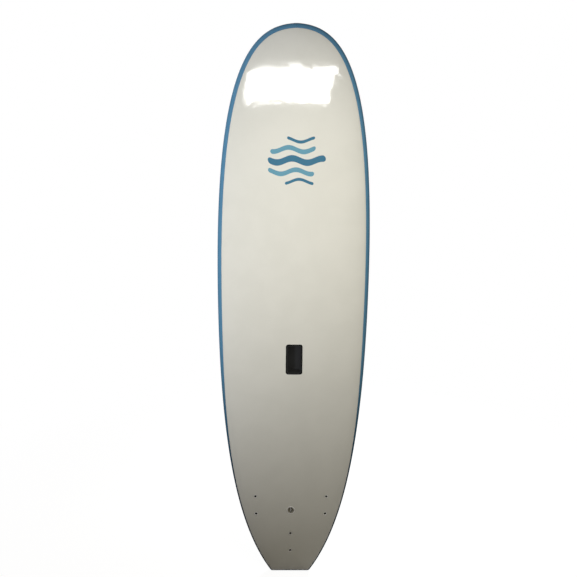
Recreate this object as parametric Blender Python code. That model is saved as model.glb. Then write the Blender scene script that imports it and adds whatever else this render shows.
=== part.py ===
"""A soft-top surfboard, 7'0" long, for Blender 4.5 (metres, +Z up).

It stands on its tail as in a shop, nose up along +Z, deck towards -Y and fins towards +Y. A foam core
with two wooden stringers is wrapped in a foam deck and foam rails and a slick plastic bottom. It holds a
carry-handle tray, a leash plug bolted right through, and three fins held by screws from the deck.

The board is drawn lying on its bottom, as a shaper draws it: x across, y from the tail end to the nose,
z up to the deck, with z = 0 on the flat of the bottom. The empty "board" then stands it up.
"""

import math

import bmesh
import bpy
from mathutils import Matrix, Vector

# Plan outline
LENGTH = 2.134
WIDTH = 0.5715
WIDE_POINT_AHEAD = 0.139  # of the middle of the length
TAIL_END_WIDTH = 0.1566
TAIL_CORNER_RADIUS = 0.012
TAIL_EDGE_ANGLE = math.radians(35.2)  # the rail line leaves the tail corner at this angle to the length
TAIL_FULLNESS = 0.245  # share of its curve's length that each end keeps its own direction for
HIP_FULLNESS = 0.418
SHOULDER_FULLNESS = 0.864
NOSE_FULLNESS = 0.537
NOSE_POINT = 0.006  # how far the tip's tangent drops at its handle

# Rocker: how far the bottom curves up to the deck side
NOSE_ROCKER = 0.115
TAIL_ROCKER = 0.045
NOSE_ROCKER_POWER = 2.4
TAIL_ROCKER_POWER = 2.0
FLAT_START = 0.80
FLAT_END = 1.15

# Thickness along the centre line
THICKNESS = 0.0795
TAIL_THICKNESS = 0.040
NOSE_THICKNESS = 0.032
THICKNESS_POWER = 2.3
THICK_POINT = 1.05

# Cross-section
APEX_SHARE = 0.46  # the rail's widest line, as a share of the thickness
RAIL_FLAT = 0.010
DECK_FULLNESS = 0.88
CROWN_FULLNESS = 0.50
BOTTOM_FULLNESS = 0.80
TUCK = 0.045
TUCK_FULLNESS = 0.35
TUCK_LIMIT = 0.7  # of the way in to the centre line
SEAM_LIMIT = 0.8  # of the tuck
TAIL_FAN = 0.110  # the sections near the ends fan out from points this far in from them
NOSE_FAN = 0.120

# Walls
GAP = 0.0003  # between pieces that touch
DECK_WALL = 0.005
RAIL_WALL = 0.005
BOTTOM_WALL = 0.003
RAIL_SEAM = 0.0155  # deck seam in from the outline, forward of SEAM_FULL
TAIL_SEAM = 0.0065  # and behind SEAM_START
SEAM_START = 0.30
SEAM_FULL = 1.15
BOTTOM_SEAM = 0.024
TAIL_BAND_SHARE = 0.75  # of the tail's straight edge
STRINGER_THICKNESS = 0.005
STRINGER_CLEAR = 0.009  # core left between a stringer and the handle's tray

# Carry handle
HANDLE_FROM_TAIL = 0.9286
HANDLE_SHIFT = 0.006  # towards +x of the centre line
HANDLE_WIDTH = 0.0635
HANDLE_LENGTH = 0.121
HANDLE_CORNER = 0.009
HANDLE_LIP = 0.0065
HANDLE_EDGE = 0.0009
HANDLE_PROUD = 0.001
HANDLE_FLANGE = 0.003
HANDLE_DEPTH = 0.036
WELL_CORNER = 0.006
TRAY_WALL = 0.0022
TRAY_DRAFT = 0.0015
FINGER_REACH = 0.017  # of the undercut, past the well's wall
FINGER_ROOF = 0.013  # of the undercut, below the deck
FINGER_END = 0.0115  # from the well's end to the undercut's
GRIP_THICKNESS = 0.0035
GRIP_ROUND = 0.0012
GRIP_FROM_TOP = 0.0014
GRIP_FROM_ROOF = 0.0031
GRIP_PAST_UNDERCUT = 0.0035

# Leash plug, square to the deck
LEASH_FROM_TAIL = 0.285
LEASH_MOUTH_RADIUS = 0.0127
LEASH_WALL = 0.0025
LEASH_FLANGE_REACH = 0.0018  # past the cup's wall
LEASH_FLANGE = 0.0025
LEASH_PROUD = 0.0008
LEASH_DEPTH = 0.019
LEASH_BAR_RADIUS = 0.0024
LEASH_BAR_DEPTH = 0.006
LEASH_BAR_WALL = 0.0011  # of the cup, left past each end of the bar
LEASH_SCREW_LENGTH = 0.032
LEASH_STEM_WALL = 0.0037
LEASH_DRAW = 0.004  # left between the stem and the cup, for tightening
LEASH_BASE_RADIUS = 0.014
LEASH_BASE_FLANGE = 0.0022
LEASH_BASE_CHAMFER = 0.001
LEASH_BASE_WALL = 0.0011  # under the stem's bore
LEASH_BASE_SUNK = 0.001  # into the bottom

# Fins, square to the bottom, and the screws that hold them from the deck
SIDE_FIN_FROM_TAIL = 0.3003
SIDE_FIN_OUT = 0.1416
SIDE_FIN_TOE = math.radians(2.1)  # front screws further out, as photographed
SIDE_FIN_CANT = math.radians(5)
SIDE_FIN_INNER = 0.35  # how full the inner side's foil is beside the outer one's
CENTRE_FIN_FROM_TAIL = 0.1371
FIN_DEPTH = 0.112
FIN_RAKE = 0.066  # from the middle of the base back to the tip
FIN_LEAD = ((0.26, 0.52), (0.32, 1.0))  # leading edge's handles, as shares of base and rake, and of depth
FIN_TRAIL = ((0.28, 0.42), (1.42, 0.93))
FIN_FOIL = ((0.02, 0.30), (0.12, 0.78), (0.35, 1.0), (0.65, 0.72))  # shares of chord, of half thickness
FIN_THICKNESS = 0.0088
FIN_TIP_THICKNESS = 0.0036
FIN_TIP_TRIM = 0.0013
FIN_EDGE = 0.0014
FIN_PAST_SCREW = 0.0175  # base beyond each screw
FIN_FOOT_THICKNESS = 0.0035
FIN_FOOT_CHAMFER = 0.0012
FIN_FOOT_LIP = 0.0015  # foot round the bosses
FIN_BOSS_WALL = 0.0024
FIN_BOSS_END = 0.0055  # under the insert
FIN_BOSS_TAPER = 0.003
SCREW_SPACING = 0.077
SCREW_RADIUS = 0.0025
SCREW_POINT = 0.0008
SCREW_HEAD_RADIUS = 0.0042
SCREW_HEAD_HEIGHT = 0.0026
SCREW_HEAD_ROUND = 0.0012
SCREW_SINK = 0.0055  # screw head below the deck
SCREW_SHORT = 0.0008  # of the insert's far end
BORE_CLEARANCE = 0.0003
WASHER_MARGIN = 0.0002  # past the screw's head
WASHER_THICKNESS = 0.0009
FERRULE_WALL = 0.0013
FERRULE_FLANGE_REACH = 0.0015
FERRULE_FLANGE = 0.0016
FERRULE_SUNK = 0.0005  # below the deck
FERRULE_RIM = 0.0005
FERRULE_END_CLEARANCE = 0.0008  # above the bottom skin, which the rocker curves up towards it
INSERT_WALL = 0.0010
INSERT_LENGTH = 0.0125

# Facets
TAIL_EDGE_STEPS = 2
CORNER_STEPS = 2
HIP_STEPS = 10
NOSE_STEPS = 14
DECK_STEPS = 5
RAIL_STEPS = 2
TURN_STEPS = 10
ROUND_STEPS = 20
CORNER_POINTS = 4
FIN_LEVELS = 8

SMOOTH_ANGLE = math.radians(35)
MERGE = 1e-6
SLOPE_STEP = 0.01
PAST = 0.01  # how far a cutter runs past the surface

MATERIALS = {
    "deck_foam": ((0.76, 0.73, 0.65), 0.42, 0.0),
    "rail_foam": ((0.055, 0.19, 0.31), 0.50, 0.0),
    "slick": ((0.05, 0.20, 0.34), 0.28, 0.0),
    "core_foam": ((0.90, 0.90, 0.88), 0.85, 0.0),
    "plywood": ((0.52, 0.36, 0.20), 0.65, 0.0),
    "black_plastic": ((0.016, 0.017, 0.018), 0.45, 0.0),
    "black_rubber": ((0.022, 0.022, 0.024), 0.75, 0.0),
    "pale_plastic": ((0.62, 0.60, 0.53), 0.50, 0.0),
    "fin_rubber": ((0.02, 0.021, 0.024), 0.55, 0.0),
    "stainless": ((0.58, 0.57, 0.55), 0.32, 1.0),
    "brass": ((0.60, 0.44, 0.18), 0.35, 1.0),
}


def clear_scene():
    for obj in list(bpy.data.objects):
        bpy.data.objects.remove(obj)


def material(name):
    found = bpy.data.materials.get(name)
    if found:
        return found
    colour, roughness, metallic = MATERIALS[name]
    made = bpy.data.materials.new(name)
    made.use_nodes = True
    shader = made.node_tree.nodes["Principled BSDF"]
    shader.inputs["Base Color"].default_value = (*colour, 1.0)
    shader.inputs["Roughness"].default_value = roughness
    shader.inputs["Metallic"].default_value = metallic
    return made


def empty(name, parent=None, place=(0, 0, 0), turn=(0, 0, 0)):
    made = bpy.data.objects.new(name, None)
    bpy.context.scene.collection.objects.link(made)
    made.parent = parent
    made.location = place
    made.rotation_euler = turn
    return made


def solid(name, mesh_data, finish, parent, place=(0, 0, 0), turn=(0, 0, 0)):
    """A bmesh becomes a smooth-shaded object of one finish."""
    bmesh.ops.recalc_face_normals(mesh_data, faces=mesh_data.faces)
    mesh = bpy.data.meshes.new(name)
    mesh_data.to_mesh(mesh)
    mesh_data.free()
    mesh.shade_smooth()
    mesh.set_sharp_from_angle(angle=SMOOTH_ANGLE)
    mesh.materials.append(material(finish))
    made = bpy.data.objects.new(name, mesh)
    bpy.context.scene.collection.objects.link(made)
    made.parent = parent
    made.location = place
    made.rotation_euler = turn
    return made


def as_cutter(obj):
    obj.hide_render = True
    obj.display_type = "WIRE"
    return obj


def boolean(obj, other, operation="DIFFERENCE"):
    """Cuts other from obj, or joins it on."""
    as_cutter(other)
    step = obj.modifiers.new(other.name, "BOOLEAN")
    step.operation = operation
    step.solver = "EXACT"
    step.object = other


def even_shading(obj):
    """Wide faces keep their own shading right up to a cut."""
    step = obj.modifiers.new("even_shading", "WEIGHTED_NORMAL")
    step.keep_sharp = True


def bezier(points, t):
    a, b, c, d = points
    s = 1 - t
    return a * s**3 + b * (3 * s * s * t) + c * (3 * s * t * t) + d * t**3


def bezier_direction(points, t):
    a, b, c, d = points
    s = 1 - t
    return ((b - a) * (s * s) + (c - b) * (2 * s * t) + (d - c) * (t * t)).normalized()


def bezier_speed(points, t):
    a, b, c, d = points
    s = 1 - t
    return 3 * ((b - a) * (s * s) + (c - b) * (2 * s * t) + (d - c) * (t * t)).length


def solve(function, target, low=0.0, high=1.0):
    """Where a rising function reaches target."""
    for _ in range(50):
        middle = (low + high) / 2
        if function(middle) < target:
            low = middle
        else:
            high = middle
    return (low + high) / 2


# Plan outline and side profile

HALF_WIDTH = WIDTH / 2
WIDE_POINT = LENGTH / 2 + WIDE_POINT_AHEAD
CORNER_TURN = math.pi / 2 - TAIL_EDGE_ANGLE
CORNER_SETBACK = TAIL_CORNER_RADIUS * math.tan(CORNER_TURN / 2)
TAIL_CORNER = Vector((TAIL_END_WIDTH / 2, 0))
RAIL_DIRECTION = Vector((math.sin(TAIL_EDGE_ANGLE), math.cos(TAIL_EDGE_ANGLE)))
HIP_CURVE = (
    TAIL_CORNER + RAIL_DIRECTION * CORNER_SETBACK,
    TAIL_CORNER + RAIL_DIRECTION * (TAIL_FULLNESS * WIDE_POINT),
    Vector((HALF_WIDTH, WIDE_POINT * (1 - HIP_FULLNESS))),
    Vector((HALF_WIDTH, WIDE_POINT)),
)
NOSE_CURVE = (
    Vector((HALF_WIDTH, WIDE_POINT)),
    Vector((HALF_WIDTH, WIDE_POINT + SHOULDER_FULLNESS * (LENGTH - WIDE_POINT))),
    Vector((HALF_WIDTH * NOSE_FULLNESS, LENGTH - NOSE_POINT)),
    Vector((0, LENGTH)),
)
NOSE_TIP = 4.0  # the outline's last value of u


def outline(u):
    """The plan outline: tail edge for u from 0 to 1, its corner to 2, the hip to 3, and the nose to 4."""
    if u <= 1:
        return Vector(((TAIL_END_WIDTH / 2 - CORNER_SETBACK) * u, 0))
    if u <= 2:
        turn = CORNER_TURN * (u - 1)
        middle = Vector((TAIL_END_WIDTH / 2 - CORNER_SETBACK, TAIL_CORNER_RADIUS))
        return middle + Vector((math.sin(turn), -math.cos(turn))) * TAIL_CORNER_RADIUS
    if u <= 3:
        return bezier(HIP_CURVE, u - 2)
    return bezier(NOSE_CURVE, min(u, NOSE_TIP) - 3)


def rocker(y):
    """How high the bottom's centre line stands above its flat."""
    if y > FLAT_END:
        return NOSE_ROCKER * ((y - FLAT_END) / (LENGTH - FLAT_END)) ** NOSE_ROCKER_POWER
    if y < FLAT_START:
        return TAIL_ROCKER * ((FLAT_START - y) / FLAT_START) ** TAIL_ROCKER_POWER
    return 0.0


def thickness(y):
    if y > THICK_POINT:
        share = (y - THICK_POINT) / (LENGTH - THICK_POINT)
        end = NOSE_THICKNESS
    else:
        share = (THICK_POINT - y) / THICK_POINT
        end = TAIL_THICKNESS
    return THICKNESS - (THICKNESS - end) * share**THICKNESS_POWER


def seam_inset(y):
    """How far in from the outline the deck meets the rail: narrower towards the tail."""
    share = min(max((y - SEAM_START) / (SEAM_FULL - SEAM_START), 0), 1)
    return TAIL_SEAM + (RAIL_SEAM - TAIL_SEAM) * share * share * (3 - 2 * share)


def fan_centre(edge):
    """Where the slice that starts at a point of the outline meets the centre line."""
    return Vector((0, TAIL_FAN + edge.y * (LENGTH - TAIL_FAN - NOSE_FAN) / LENGTH))


class Section:
    """A slice of the board from the centre line out to the rail.

    Its curves are drawn in (distance in from the outline, height above the rocker line).
    """

    def __init__(self, u):
        self.edge = outline(u)
        self.centre = fan_centre(self.edge)
        self.reach = (self.edge - self.centre).length
        self.height = height = thickness(self.centre.y)
        apex = APEX_SHARE * height
        rise = height - apex - RAIL_FLAT / 2
        drop = apex - RAIL_FLAT / 2
        tuck = min(TUCK, self.reach * TUCK_LIMIT)
        self.deck = (
            Vector((0, height - rise)),
            Vector((0, height - rise * (1 - DECK_FULLNESS))),
            Vector((self.reach * CROWN_FULLNESS, height)),
            Vector((self.reach, height)),
        )
        self.bottom = (
            Vector((0, drop)),
            Vector((0, drop * (1 - BOTTOM_FULLNESS))),
            Vector((tuck * TUCK_FULLNESS, 0)),
            Vector((tuck, 0)),
        )
        self.deck_seam = solve(lambda t: bezier(self.deck, t).x, seam_inset(self.edge.y))
        self.bottom_seam = solve(lambda t: bezier(self.bottom, t).x, min(BOTTOM_SEAM, tuck * SEAM_LIMIT))

    def plan(self, inward):
        return self.edge + (self.centre - self.edge) * (inward / self.reach)

    def taper(self, surface):
        """How much a point of the surface rises because the board is thicker there than at the slice's centre.

        A slice near an end runs out towards it, where the board is thinner. Without this the two sides
        would meet in a crease along the centre line.
        """
        return surface.y * (thickness(self.plan(surface.x).y) / self.height - 1)

    def place(self, point, surface):
        """A point of the slice, in the board's own x, y and z. It lies on the surface or in under it."""
        plan = self.plan(point.x)
        return Vector((plan.x, plan.y, point.y + self.taper(surface) + rocker(plan.y)))

    def on_deck(self, t, inset=0.0):
        surface = bezier(self.deck, t)
        direction = bezier_direction(self.deck, t)
        return self.place(surface + Vector((direction.y, -direction.x)) * inset, surface)

    def on_bottom(self, t, inset=0.0):
        surface = bezier(self.bottom, t)
        direction = bezier_direction(self.bottom, t)
        return self.place(surface + Vector((-direction.y, direction.x)) * inset, surface)

    def bottom_middle(self, inset):
        return Vector((0, self.centre.y, inset + rocker(self.centre.y)))

    def past_seam(self, curve, seam, side):
        """The curve's value half a gap past a seam, towards the centre line or back to the rail."""
        return seam + side * GAP / 2 / bezier_speed(curve, seam)


def steps(first, last, count):
    return [first + (last - first) * i / count for i in range(count + 1)]


def deck_strip(section, inset):
    """Points from the centre line out to the deck seam."""
    seam = section.past_seam(section.deck, section.deck_seam, 1)
    return [section.on_deck(t, inset) for t in steps(1.0, seam, DECK_STEPS)]


def rail_strip(section, inset):
    """Points from the deck seam round the rail to the bottom seam."""
    upper = section.past_seam(section.deck, section.deck_seam, -1)
    lower = section.past_seam(section.bottom, section.bottom_seam, -1)
    points = [section.on_deck(t, inset) for t in steps(upper, 0.0, RAIL_STEPS)]
    return points + [section.on_bottom(t, inset) for t in steps(0.0, lower, RAIL_STEPS)]


def bottom_strip(section, inset):
    """Points from the bottom seam in to the centre line."""
    seam = section.past_seam(section.bottom, section.bottom_seam, 1)
    points = [section.on_bottom(t, inset) for t in steps(seam, 1.0, RAIL_STEPS)]
    return points + [section.bottom_middle(inset)]


def core_strip(section):
    """Points right round the foam core, from the deck's centre line to the bottom's.

    Where two walls differ, the core steps down just past the thicker one's edge.
    """
    deck_inset = DECK_WALL + GAP
    rail_inset = RAIL_WALL + GAP
    bottom_inset = BOTTOM_WALL + GAP
    upper_side = 1 if RAIL_WALL > DECK_WALL else -1
    lower_side = 1 if RAIL_WALL > BOTTOM_WALL else -1
    upper = section.past_seam(section.deck, section.deck_seam, upper_side)
    lower = section.past_seam(section.bottom, section.bottom_seam, lower_side)
    points = [section.on_deck(t, deck_inset) for t in steps(1.0, upper, DECK_STEPS)]
    points += [section.on_deck(t, rail_inset) for t in steps(upper, 0.0, RAIL_STEPS)]
    points += [section.on_bottom(t, rail_inset) for t in steps(0.0, lower, RAIL_STEPS)]
    points += [section.on_bottom(t, bottom_inset) for t in steps(lower, 1.0, RAIL_STEPS)]
    return points + [section.bottom_middle(bottom_inset)]


# Sizes that follow from those above

WELL_HALF_X = HANDLE_WIDTH / 2 - HANDLE_LIP
WELL_HALF_Y = HANDLE_LENGTH / 2 - HANDLE_LIP
UNDERCUT_EDGE = WELL_HALF_X + FINGER_REACH
UNDERCUT_HALF_Y = WELL_HALF_Y - FINGER_END
SCREW_BORE = SCREW_RADIUS + BORE_CLEARANCE
WASHER_RADIUS = SCREW_HEAD_RADIUS + WASHER_MARGIN
FERRULE_BORE = WASHER_RADIUS + BORE_CLEARANCE
FERRULE_RADIUS = FERRULE_BORE + FERRULE_WALL
FERRULE_FLANGE_RADIUS = FERRULE_RADIUS + FERRULE_FLANGE_REACH
INSERT_RADIUS = SCREW_BORE + INSERT_WALL
INSERT_TOP = -2 * GAP
INSERT_END = INSERT_TOP - INSERT_LENGTH
FIN_BASE = SCREW_SPACING + 2 * FIN_PAST_SCREW
FIN_BOSS_RADIUS = INSERT_RADIUS + GAP + FIN_BOSS_WALL
FIN_BOSS_DEPTH = FIN_BOSS_END - INSERT_END
FIN_FOOT_HALF_WIDTH = FIN_BOSS_RADIUS + FIN_FOOT_LIP
FIN_FOOT_HALF_LENGTH = FIN_BASE / 2 + FIN_FOOT_LIP

# Board pieces


def station_values():
    """Where the board is sliced, round one side from the middle of the tail to the tip of the nose."""
    values = steps(0.0, 1.0, TAIL_EDGE_STEPS)
    values += steps(1.0, 2.0, CORNER_STEPS)[1:]
    values += steps(2.0, 3.0, HIP_STEPS)[1:]
    return values + steps(3.0, NOSE_TIP, NOSE_STEPS)[1:]


def joined_rings(rings, closed, capped):
    """Triangles between neighbouring rings of points, with a lid on the first and the last if capped."""
    made = bmesh.new()
    rows = [[made.verts.new(point) for point in ring] for ring in rings]
    count = len(rows[0])
    last = count if closed else count - 1
    for row, following in zip(rows, rows[1:]):
        for i in range(last):
            j = (i + 1) % count
            made.faces.new((row[i], row[j], following[j]))
            made.faces.new((row[i], following[j], following[i]))
    if capped:
        made.faces.new(rows[0])
        made.faces.new(reversed(rows[-1]))
    return made


def add_mirror_half(made):
    """The other side of the board, joined along the centre line.

    A triangle that stands on the centre line would close the two halves off from each other, so it goes.
    """
    standing = [face for face in made.faces if all(abs(vert.co.x) < MERGE for vert in face.verts)]
    bmesh.ops.delete(made, geom=standing, context="FACES")
    kept = list(made.verts) + list(made.edges) + list(made.faces)
    copied = bmesh.ops.duplicate(made, geom=kept)["geom"]
    copies = [item for item in copied if isinstance(item, bmesh.types.BMVert)]
    bmesh.ops.scale(made, verts=copies, vec=(-1, 1, 1))
    bmesh.ops.remove_doubles(made, verts=made.verts, dist=MERGE)


def skin(name, strip, wall, finish, board):
    """A sheet over both sides of the board, from one rail's seam to the other's.

    Its inner layer runs in the strip's own order, so that its facets lie along the core's.
    """
    rings = []
    for u in station_values():
        section = Section(u)
        outer = strip(section, 0.0)[::-1]
        inner = strip(section, wall)
        rings.append(inner + outer if strip is deck_strip else outer + inner)
    made = joined_rings(rings, closed=False, capped=False)
    add_mirror_half(made)
    return solid(name, made, finish, board)


def rail(name, side, values, board, over_centre=False):
    """A foam band round the rail, along the slices given. side is 1 for +x and -1 for -x."""
    rings = []
    for u in values:
        section = Section(u)
        rings.append(rail_strip(section, RAIL_WALL) + rail_strip(section, 0.0)[::-1])
    made = joined_rings(rings, closed=True, capped=not over_centre)
    if over_centre:
        made.faces.new([v for v in made.verts][-len(rings[0]):])
        add_mirror_half(made)
    else:
        bmesh.ops.scale(made, verts=made.verts, vec=(side, 1, 1))
    return solid(name, made, "rail_foam", board)


def make_rails(board):
    joint = TAIL_BAND_SHARE
    half_joint = GAP / 2 / (TAIL_END_WIDTH / 2 - CORNER_SETBACK)
    tip_joint = GAP / 2 / bezier_speed(NOSE_CURVE, 1.0)
    between = [u for u in station_values() if joint < u < NOSE_TIP]
    values = [joint + half_joint] + between + [NOSE_TIP - tip_joint]
    rail("rail_left", -1, values, board)
    rail("rail_right", 1, values, board)
    rail("tail_band", 1, [0.0, joint / 2, joint - half_joint], board, over_centre=True)


def slab(made, low, high):
    """Keeps what lies between two planes across the board, and closes the cuts."""
    for limit, direction in ((low, -1), (high, 1)):
        if limit is None:
            continue
        everything = list(made.verts) + list(made.edges) + list(made.faces)
        cut = bmesh.ops.bisect_plane(
            made,
            geom=everything,
            dist=MERGE,
            plane_co=(limit, 0, 0),
            plane_no=(direction, 0, 0),
            clear_outer=True,
        )
        edges = [item for item in cut["geom_cut"] if isinstance(item, bmesh.types.BMEdge)]
        bmesh.ops.holes_fill(made, edges=edges, sides=0)
    return made


def core_blank():
    made = joined_rings([core_strip(Section(u)) for u in station_values()], closed=False, capped=False)
    add_mirror_half(made)
    bmesh.ops.dissolve_degenerate(made, edges=made.edges, dist=MERGE)
    return made


def make_core(board):
    """Three foam blocks with a stringer glued in each of the two joints, clear of the handle's tray."""
    tray_reach = max(UNDERCUT_EDGE - HANDLE_SHIFT, WELL_HALF_X + HANDLE_SHIFT) + TRAY_WALL
    inner = tray_reach + STRINGER_CLEAR
    outer = inner + STRINGER_THICKNESS
    blocks = {
        "core_left": (None, -outer - GAP, "core_foam"),
        "stringer_left": (-outer, -inner, "plywood"),
        "core_centre": (-inner + GAP, inner - GAP, "core_foam"),
        "stringer_right": (inner, outer, "plywood"),
        "core_right": (outer + GAP, None, "core_foam"),
    }
    made = {}
    for name, (low, high, finish) in blocks.items():
        made[name] = solid(name, slab(core_blank(), low, high), finish, board)
    return made


# Shapes for the fittings


def turned(profile, count=TURN_STEPS):
    """Spins a closed profile of (radius, height) points about z. Points of no radius lie on the axis.

    It starts half a facet round, so that no corner lies on the board's centre line.
    """
    made = bmesh.new()
    start = Matrix.Rotation(math.pi / count, 3, "Z")
    verts = [made.verts.new(start @ Vector((radius, 0, height))) for radius, height in profile]
    edges = [made.edges.new(pair) for pair in zip(verts, verts[1:])]
    if profile[0][0] > 0:
        edges.append(made.edges.new((verts[-1], verts[0])))
    bmesh.ops.spin(
        made,
        geom=verts + edges,
        axis=(0, 0, 1),
        cent=(0, 0, 0),
        angle=2 * math.pi,
        steps=count,
        use_merge=True,
    )
    bmesh.ops.remove_doubles(made, verts=made.verts, dist=MERGE)
    bmesh.ops.dissolve_degenerate(made, edges=made.edges, dist=MERGE)
    return made


def cylinder(radius, low, high, count=TURN_STEPS):
    return turned([(0, low), (radius, low), (radius, high), (0, high)], count)


def tube(inner, outer, low, high):
    return turned([(inner, low), (outer, low), (outer, high), (inner, high)])


def rounded_rectangle(half_x, half_y, radius, height, middle_x=0.0):
    """A ring of points, with CORNER_POINTS on each round corner."""
    ring = []
    for corner, (sign_x, sign_y) in enumerate(((1, 1), (-1, 1), (-1, -1), (1, -1))):
        middle = Vector((middle_x + sign_x * (half_x - radius), sign_y * (half_y - radius), height))
        for i in range(CORNER_POINTS):
            turn = math.pi / 2 * (corner + i / (CORNER_POINTS - 1))
            ring.append(middle + Vector((math.cos(turn), math.sin(turn), 0)) * radius)
    return ring


def frame_matrix(frame):
    """From a frame's own axes to the board's."""
    return Matrix.LocRotScale(frame.location, frame.rotation_euler, None)


def section_through(x, y):
    """The slice whose line from the rail to the centre line passes over a point of the plan."""

    def side(u):
        edge = outline(u)
        centre = fan_centre(edge)
        return (edge.y - centre.y) * (x - centre.x) - (edge.x - centre.x) * (y - centre.y)

    return Section(solve(side, 0.0, 1.0, NOSE_TIP))


def deck_height(x, y):
    """The deck's height above the flat of the bottom, at a point of the plan."""
    section = section_through(abs(x), y)
    inward = section.reach - (Vector((abs(x), y)) - section.centre).length
    surface = bezier(section.deck, solve(lambda t: bezier(section.deck, t).x, inward))
    return surface.y + section.taper(surface) + rocker(y)


def bottom_frame(name, board, x, y, turn=0.0):
    """An empty on the bottom, its z up through the board and square to the rocker."""
    slope = math.atan2(rocker(y + SLOPE_STEP) - rocker(y - SLOPE_STEP), 2 * SLOPE_STEP)
    return empty(name, board, (x, y, rocker(y)), (slope, 0, turn))


def deck_frame(name, board, x, y):
    """An empty on the deck, its z square to the deck's slope along the board."""
    rise = deck_height(x, y + SLOPE_STEP) - deck_height(x, y - SLOPE_STEP)
    return empty(name, board, (x, y, deck_height(x, y)), (math.atan2(rise, 2 * SLOPE_STEP), 0, 0))


def rise_to_deck(frame, along):
    """From a point on a bottom frame's y axis up its z to the deck."""
    matrix = frame_matrix(frame)

    def past(distance):
        point = matrix @ Vector((0, along, distance))
        return point.z - deck_height(point.x, point.y)

    return solve(past, 0.0, 0.0, 2 * THICKNESS)


def drop_to_bottom(frame):
    """From a deck frame down its z to the bottom."""
    matrix = frame_matrix(frame)

    def past(distance):
        point = matrix @ Vector((0, 0, -distance))
        return rocker(point.y) - point.z

    return solve(past, 0.0, 0.0, 2 * THICKNESS)


# Carry handle

HANDLE_UNDER = HANDLE_PROUD - HANDLE_FLANGE
WELL_TOP = HANDLE_PROUD - HANDLE_EDGE


def well_ring(grow, height):
    """The well's outline grown by a wall or drawn in by the draft."""
    return rounded_rectangle(WELL_HALF_X + grow, WELL_HALF_Y + grow, WELL_CORNER + max(grow, 0), height)


def flange_ring(grow, height):
    half_x = HANDLE_WIDTH / 2 + grow
    return rounded_rectangle(half_x, HANDLE_LENGTH / 2 + grow, HANDLE_CORNER + grow, height)


def undercut_block(grow, low, high):
    """The undercut's box, grown by a wall: from the middle of the well out under the deck on the -x side."""
    half_x = (UNDERCUT_EDGE + grow) / 2
    rings = [
        rounded_rectangle(half_x, UNDERCUT_HALF_Y + grow, WELL_CORNER + grow, height, -half_x)
        for height in (low, high)
    ]
    return joined_rings(rings, closed=True, capped=True)


def make_tray(frame):
    """A flanged box, with a box for the fingers joined on and both hollowed out."""
    rings = [
        well_ring(-TRAY_DRAFT, -HANDLE_DEPTH),
        well_ring(0, WELL_TOP),
        well_ring(HANDLE_EDGE, HANDLE_PROUD),
        flange_ring(-HANDLE_EDGE, HANDLE_PROUD),
        flange_ring(0, WELL_TOP),
        flange_ring(0, HANDLE_UNDER),
        well_ring(TRAY_WALL, HANDLE_UNDER),
        well_ring(TRAY_WALL - TRAY_DRAFT, -HANDLE_DEPTH - TRAY_WALL),
    ]
    tray = solid("handle_tray", joined_rings(rings, closed=True, capped=True), "black_plastic", frame)
    shell = undercut_block(TRAY_WALL, -HANDLE_DEPTH, -FINGER_ROOF + TRAY_WALL)
    boolean(tray, solid("finger_shell", shell, "black_plastic", frame), "UNION")
    well = joined_rings(rings[:2], closed=True, capped=True)
    boolean(tray, solid("well_hollow", well, "black_plastic", frame))
    undercut = undercut_block(0, -HANDLE_DEPTH + TRAY_WALL, -FINGER_ROOF)
    boolean(tray, solid("finger_undercut", undercut, "black_plastic", frame))
    return tray


def make_tray_pockets(frame, deck, core):
    rings = [
        flange_ring(GAP, PAST),
        flange_ring(GAP, HANDLE_UNDER - GAP),
        well_ring(TRAY_WALL + GAP, HANDLE_UNDER - GAP),
        well_ring(TRAY_WALL + GAP, -HANDLE_DEPTH - TRAY_WALL - GAP),
    ]
    pocket = solid("handle_pocket", joined_rings(rings, closed=True, capped=True), "core_foam", frame)
    boolean(deck, pocket)
    boolean(core, pocket)
    side = undercut_block(TRAY_WALL + GAP, -HANDLE_DEPTH - GAP, -FINGER_ROOF + TRAY_WALL + GAP)
    boolean(core, solid("finger_pocket", side, "core_foam", frame))


def make_grip(frame):
    """A soft strip on the well's wall above the undercut, round on the fingers' side."""
    top = WELL_TOP - GRIP_FROM_TOP
    low = -FINGER_ROOF + GRIP_FROM_ROOF

    def wall(height):
        share = (WELL_TOP - height) / (WELL_TOP + HANDLE_DEPTH)
        return -WELL_HALF_X + TRAY_DRAFT * share + GAP

    face_x = wall(top) + GRIP_THICKNESS
    section = [
        (wall(top), top),
        (face_x - GRIP_ROUND, top),
        (face_x, top - GRIP_ROUND),
        (face_x, low + GRIP_ROUND),
        (face_x - GRIP_ROUND, low),
        (wall(low), low),
    ]
    half = UNDERCUT_HALF_Y + GRIP_PAST_UNDERCUT
    grip = bmesh.new()
    face = grip.faces.new([grip.verts.new((x, -half, z)) for x, z in section])
    pulled = bmesh.ops.extrude_face_region(grip, geom=[face])["geom"]
    moved = [item for item in pulled if isinstance(item, bmesh.types.BMVert)]
    bmesh.ops.translate(grip, verts=moved, vec=(0, 2 * half, 0))
    solid("handle_grip", grip, "black_rubber", frame)


def make_handle(board, deck, core):
    frame = deck_frame("handle_place", board, HANDLE_SHIFT, HANDLE_FROM_TAIL)
    tray = make_tray(frame)
    make_tray_pockets(frame, deck, core)
    make_grip(frame)
    even_shading(tray)


# Leash plug

CUP_RADIUS = LEASH_MOUTH_RADIUS + LEASH_WALL
CUP_FLANGE_RADIUS = CUP_RADIUS + LEASH_FLANGE_REACH
CUP_UNDER = LEASH_PROUD - LEASH_FLANGE
CUP_FLOOR = LEASH_PROUD - LEASH_DEPTH
CUP_BASE = CUP_FLOOR - LEASH_WALL
STEM_RADIUS = SCREW_BORE + LEASH_STEM_WALL


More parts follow.
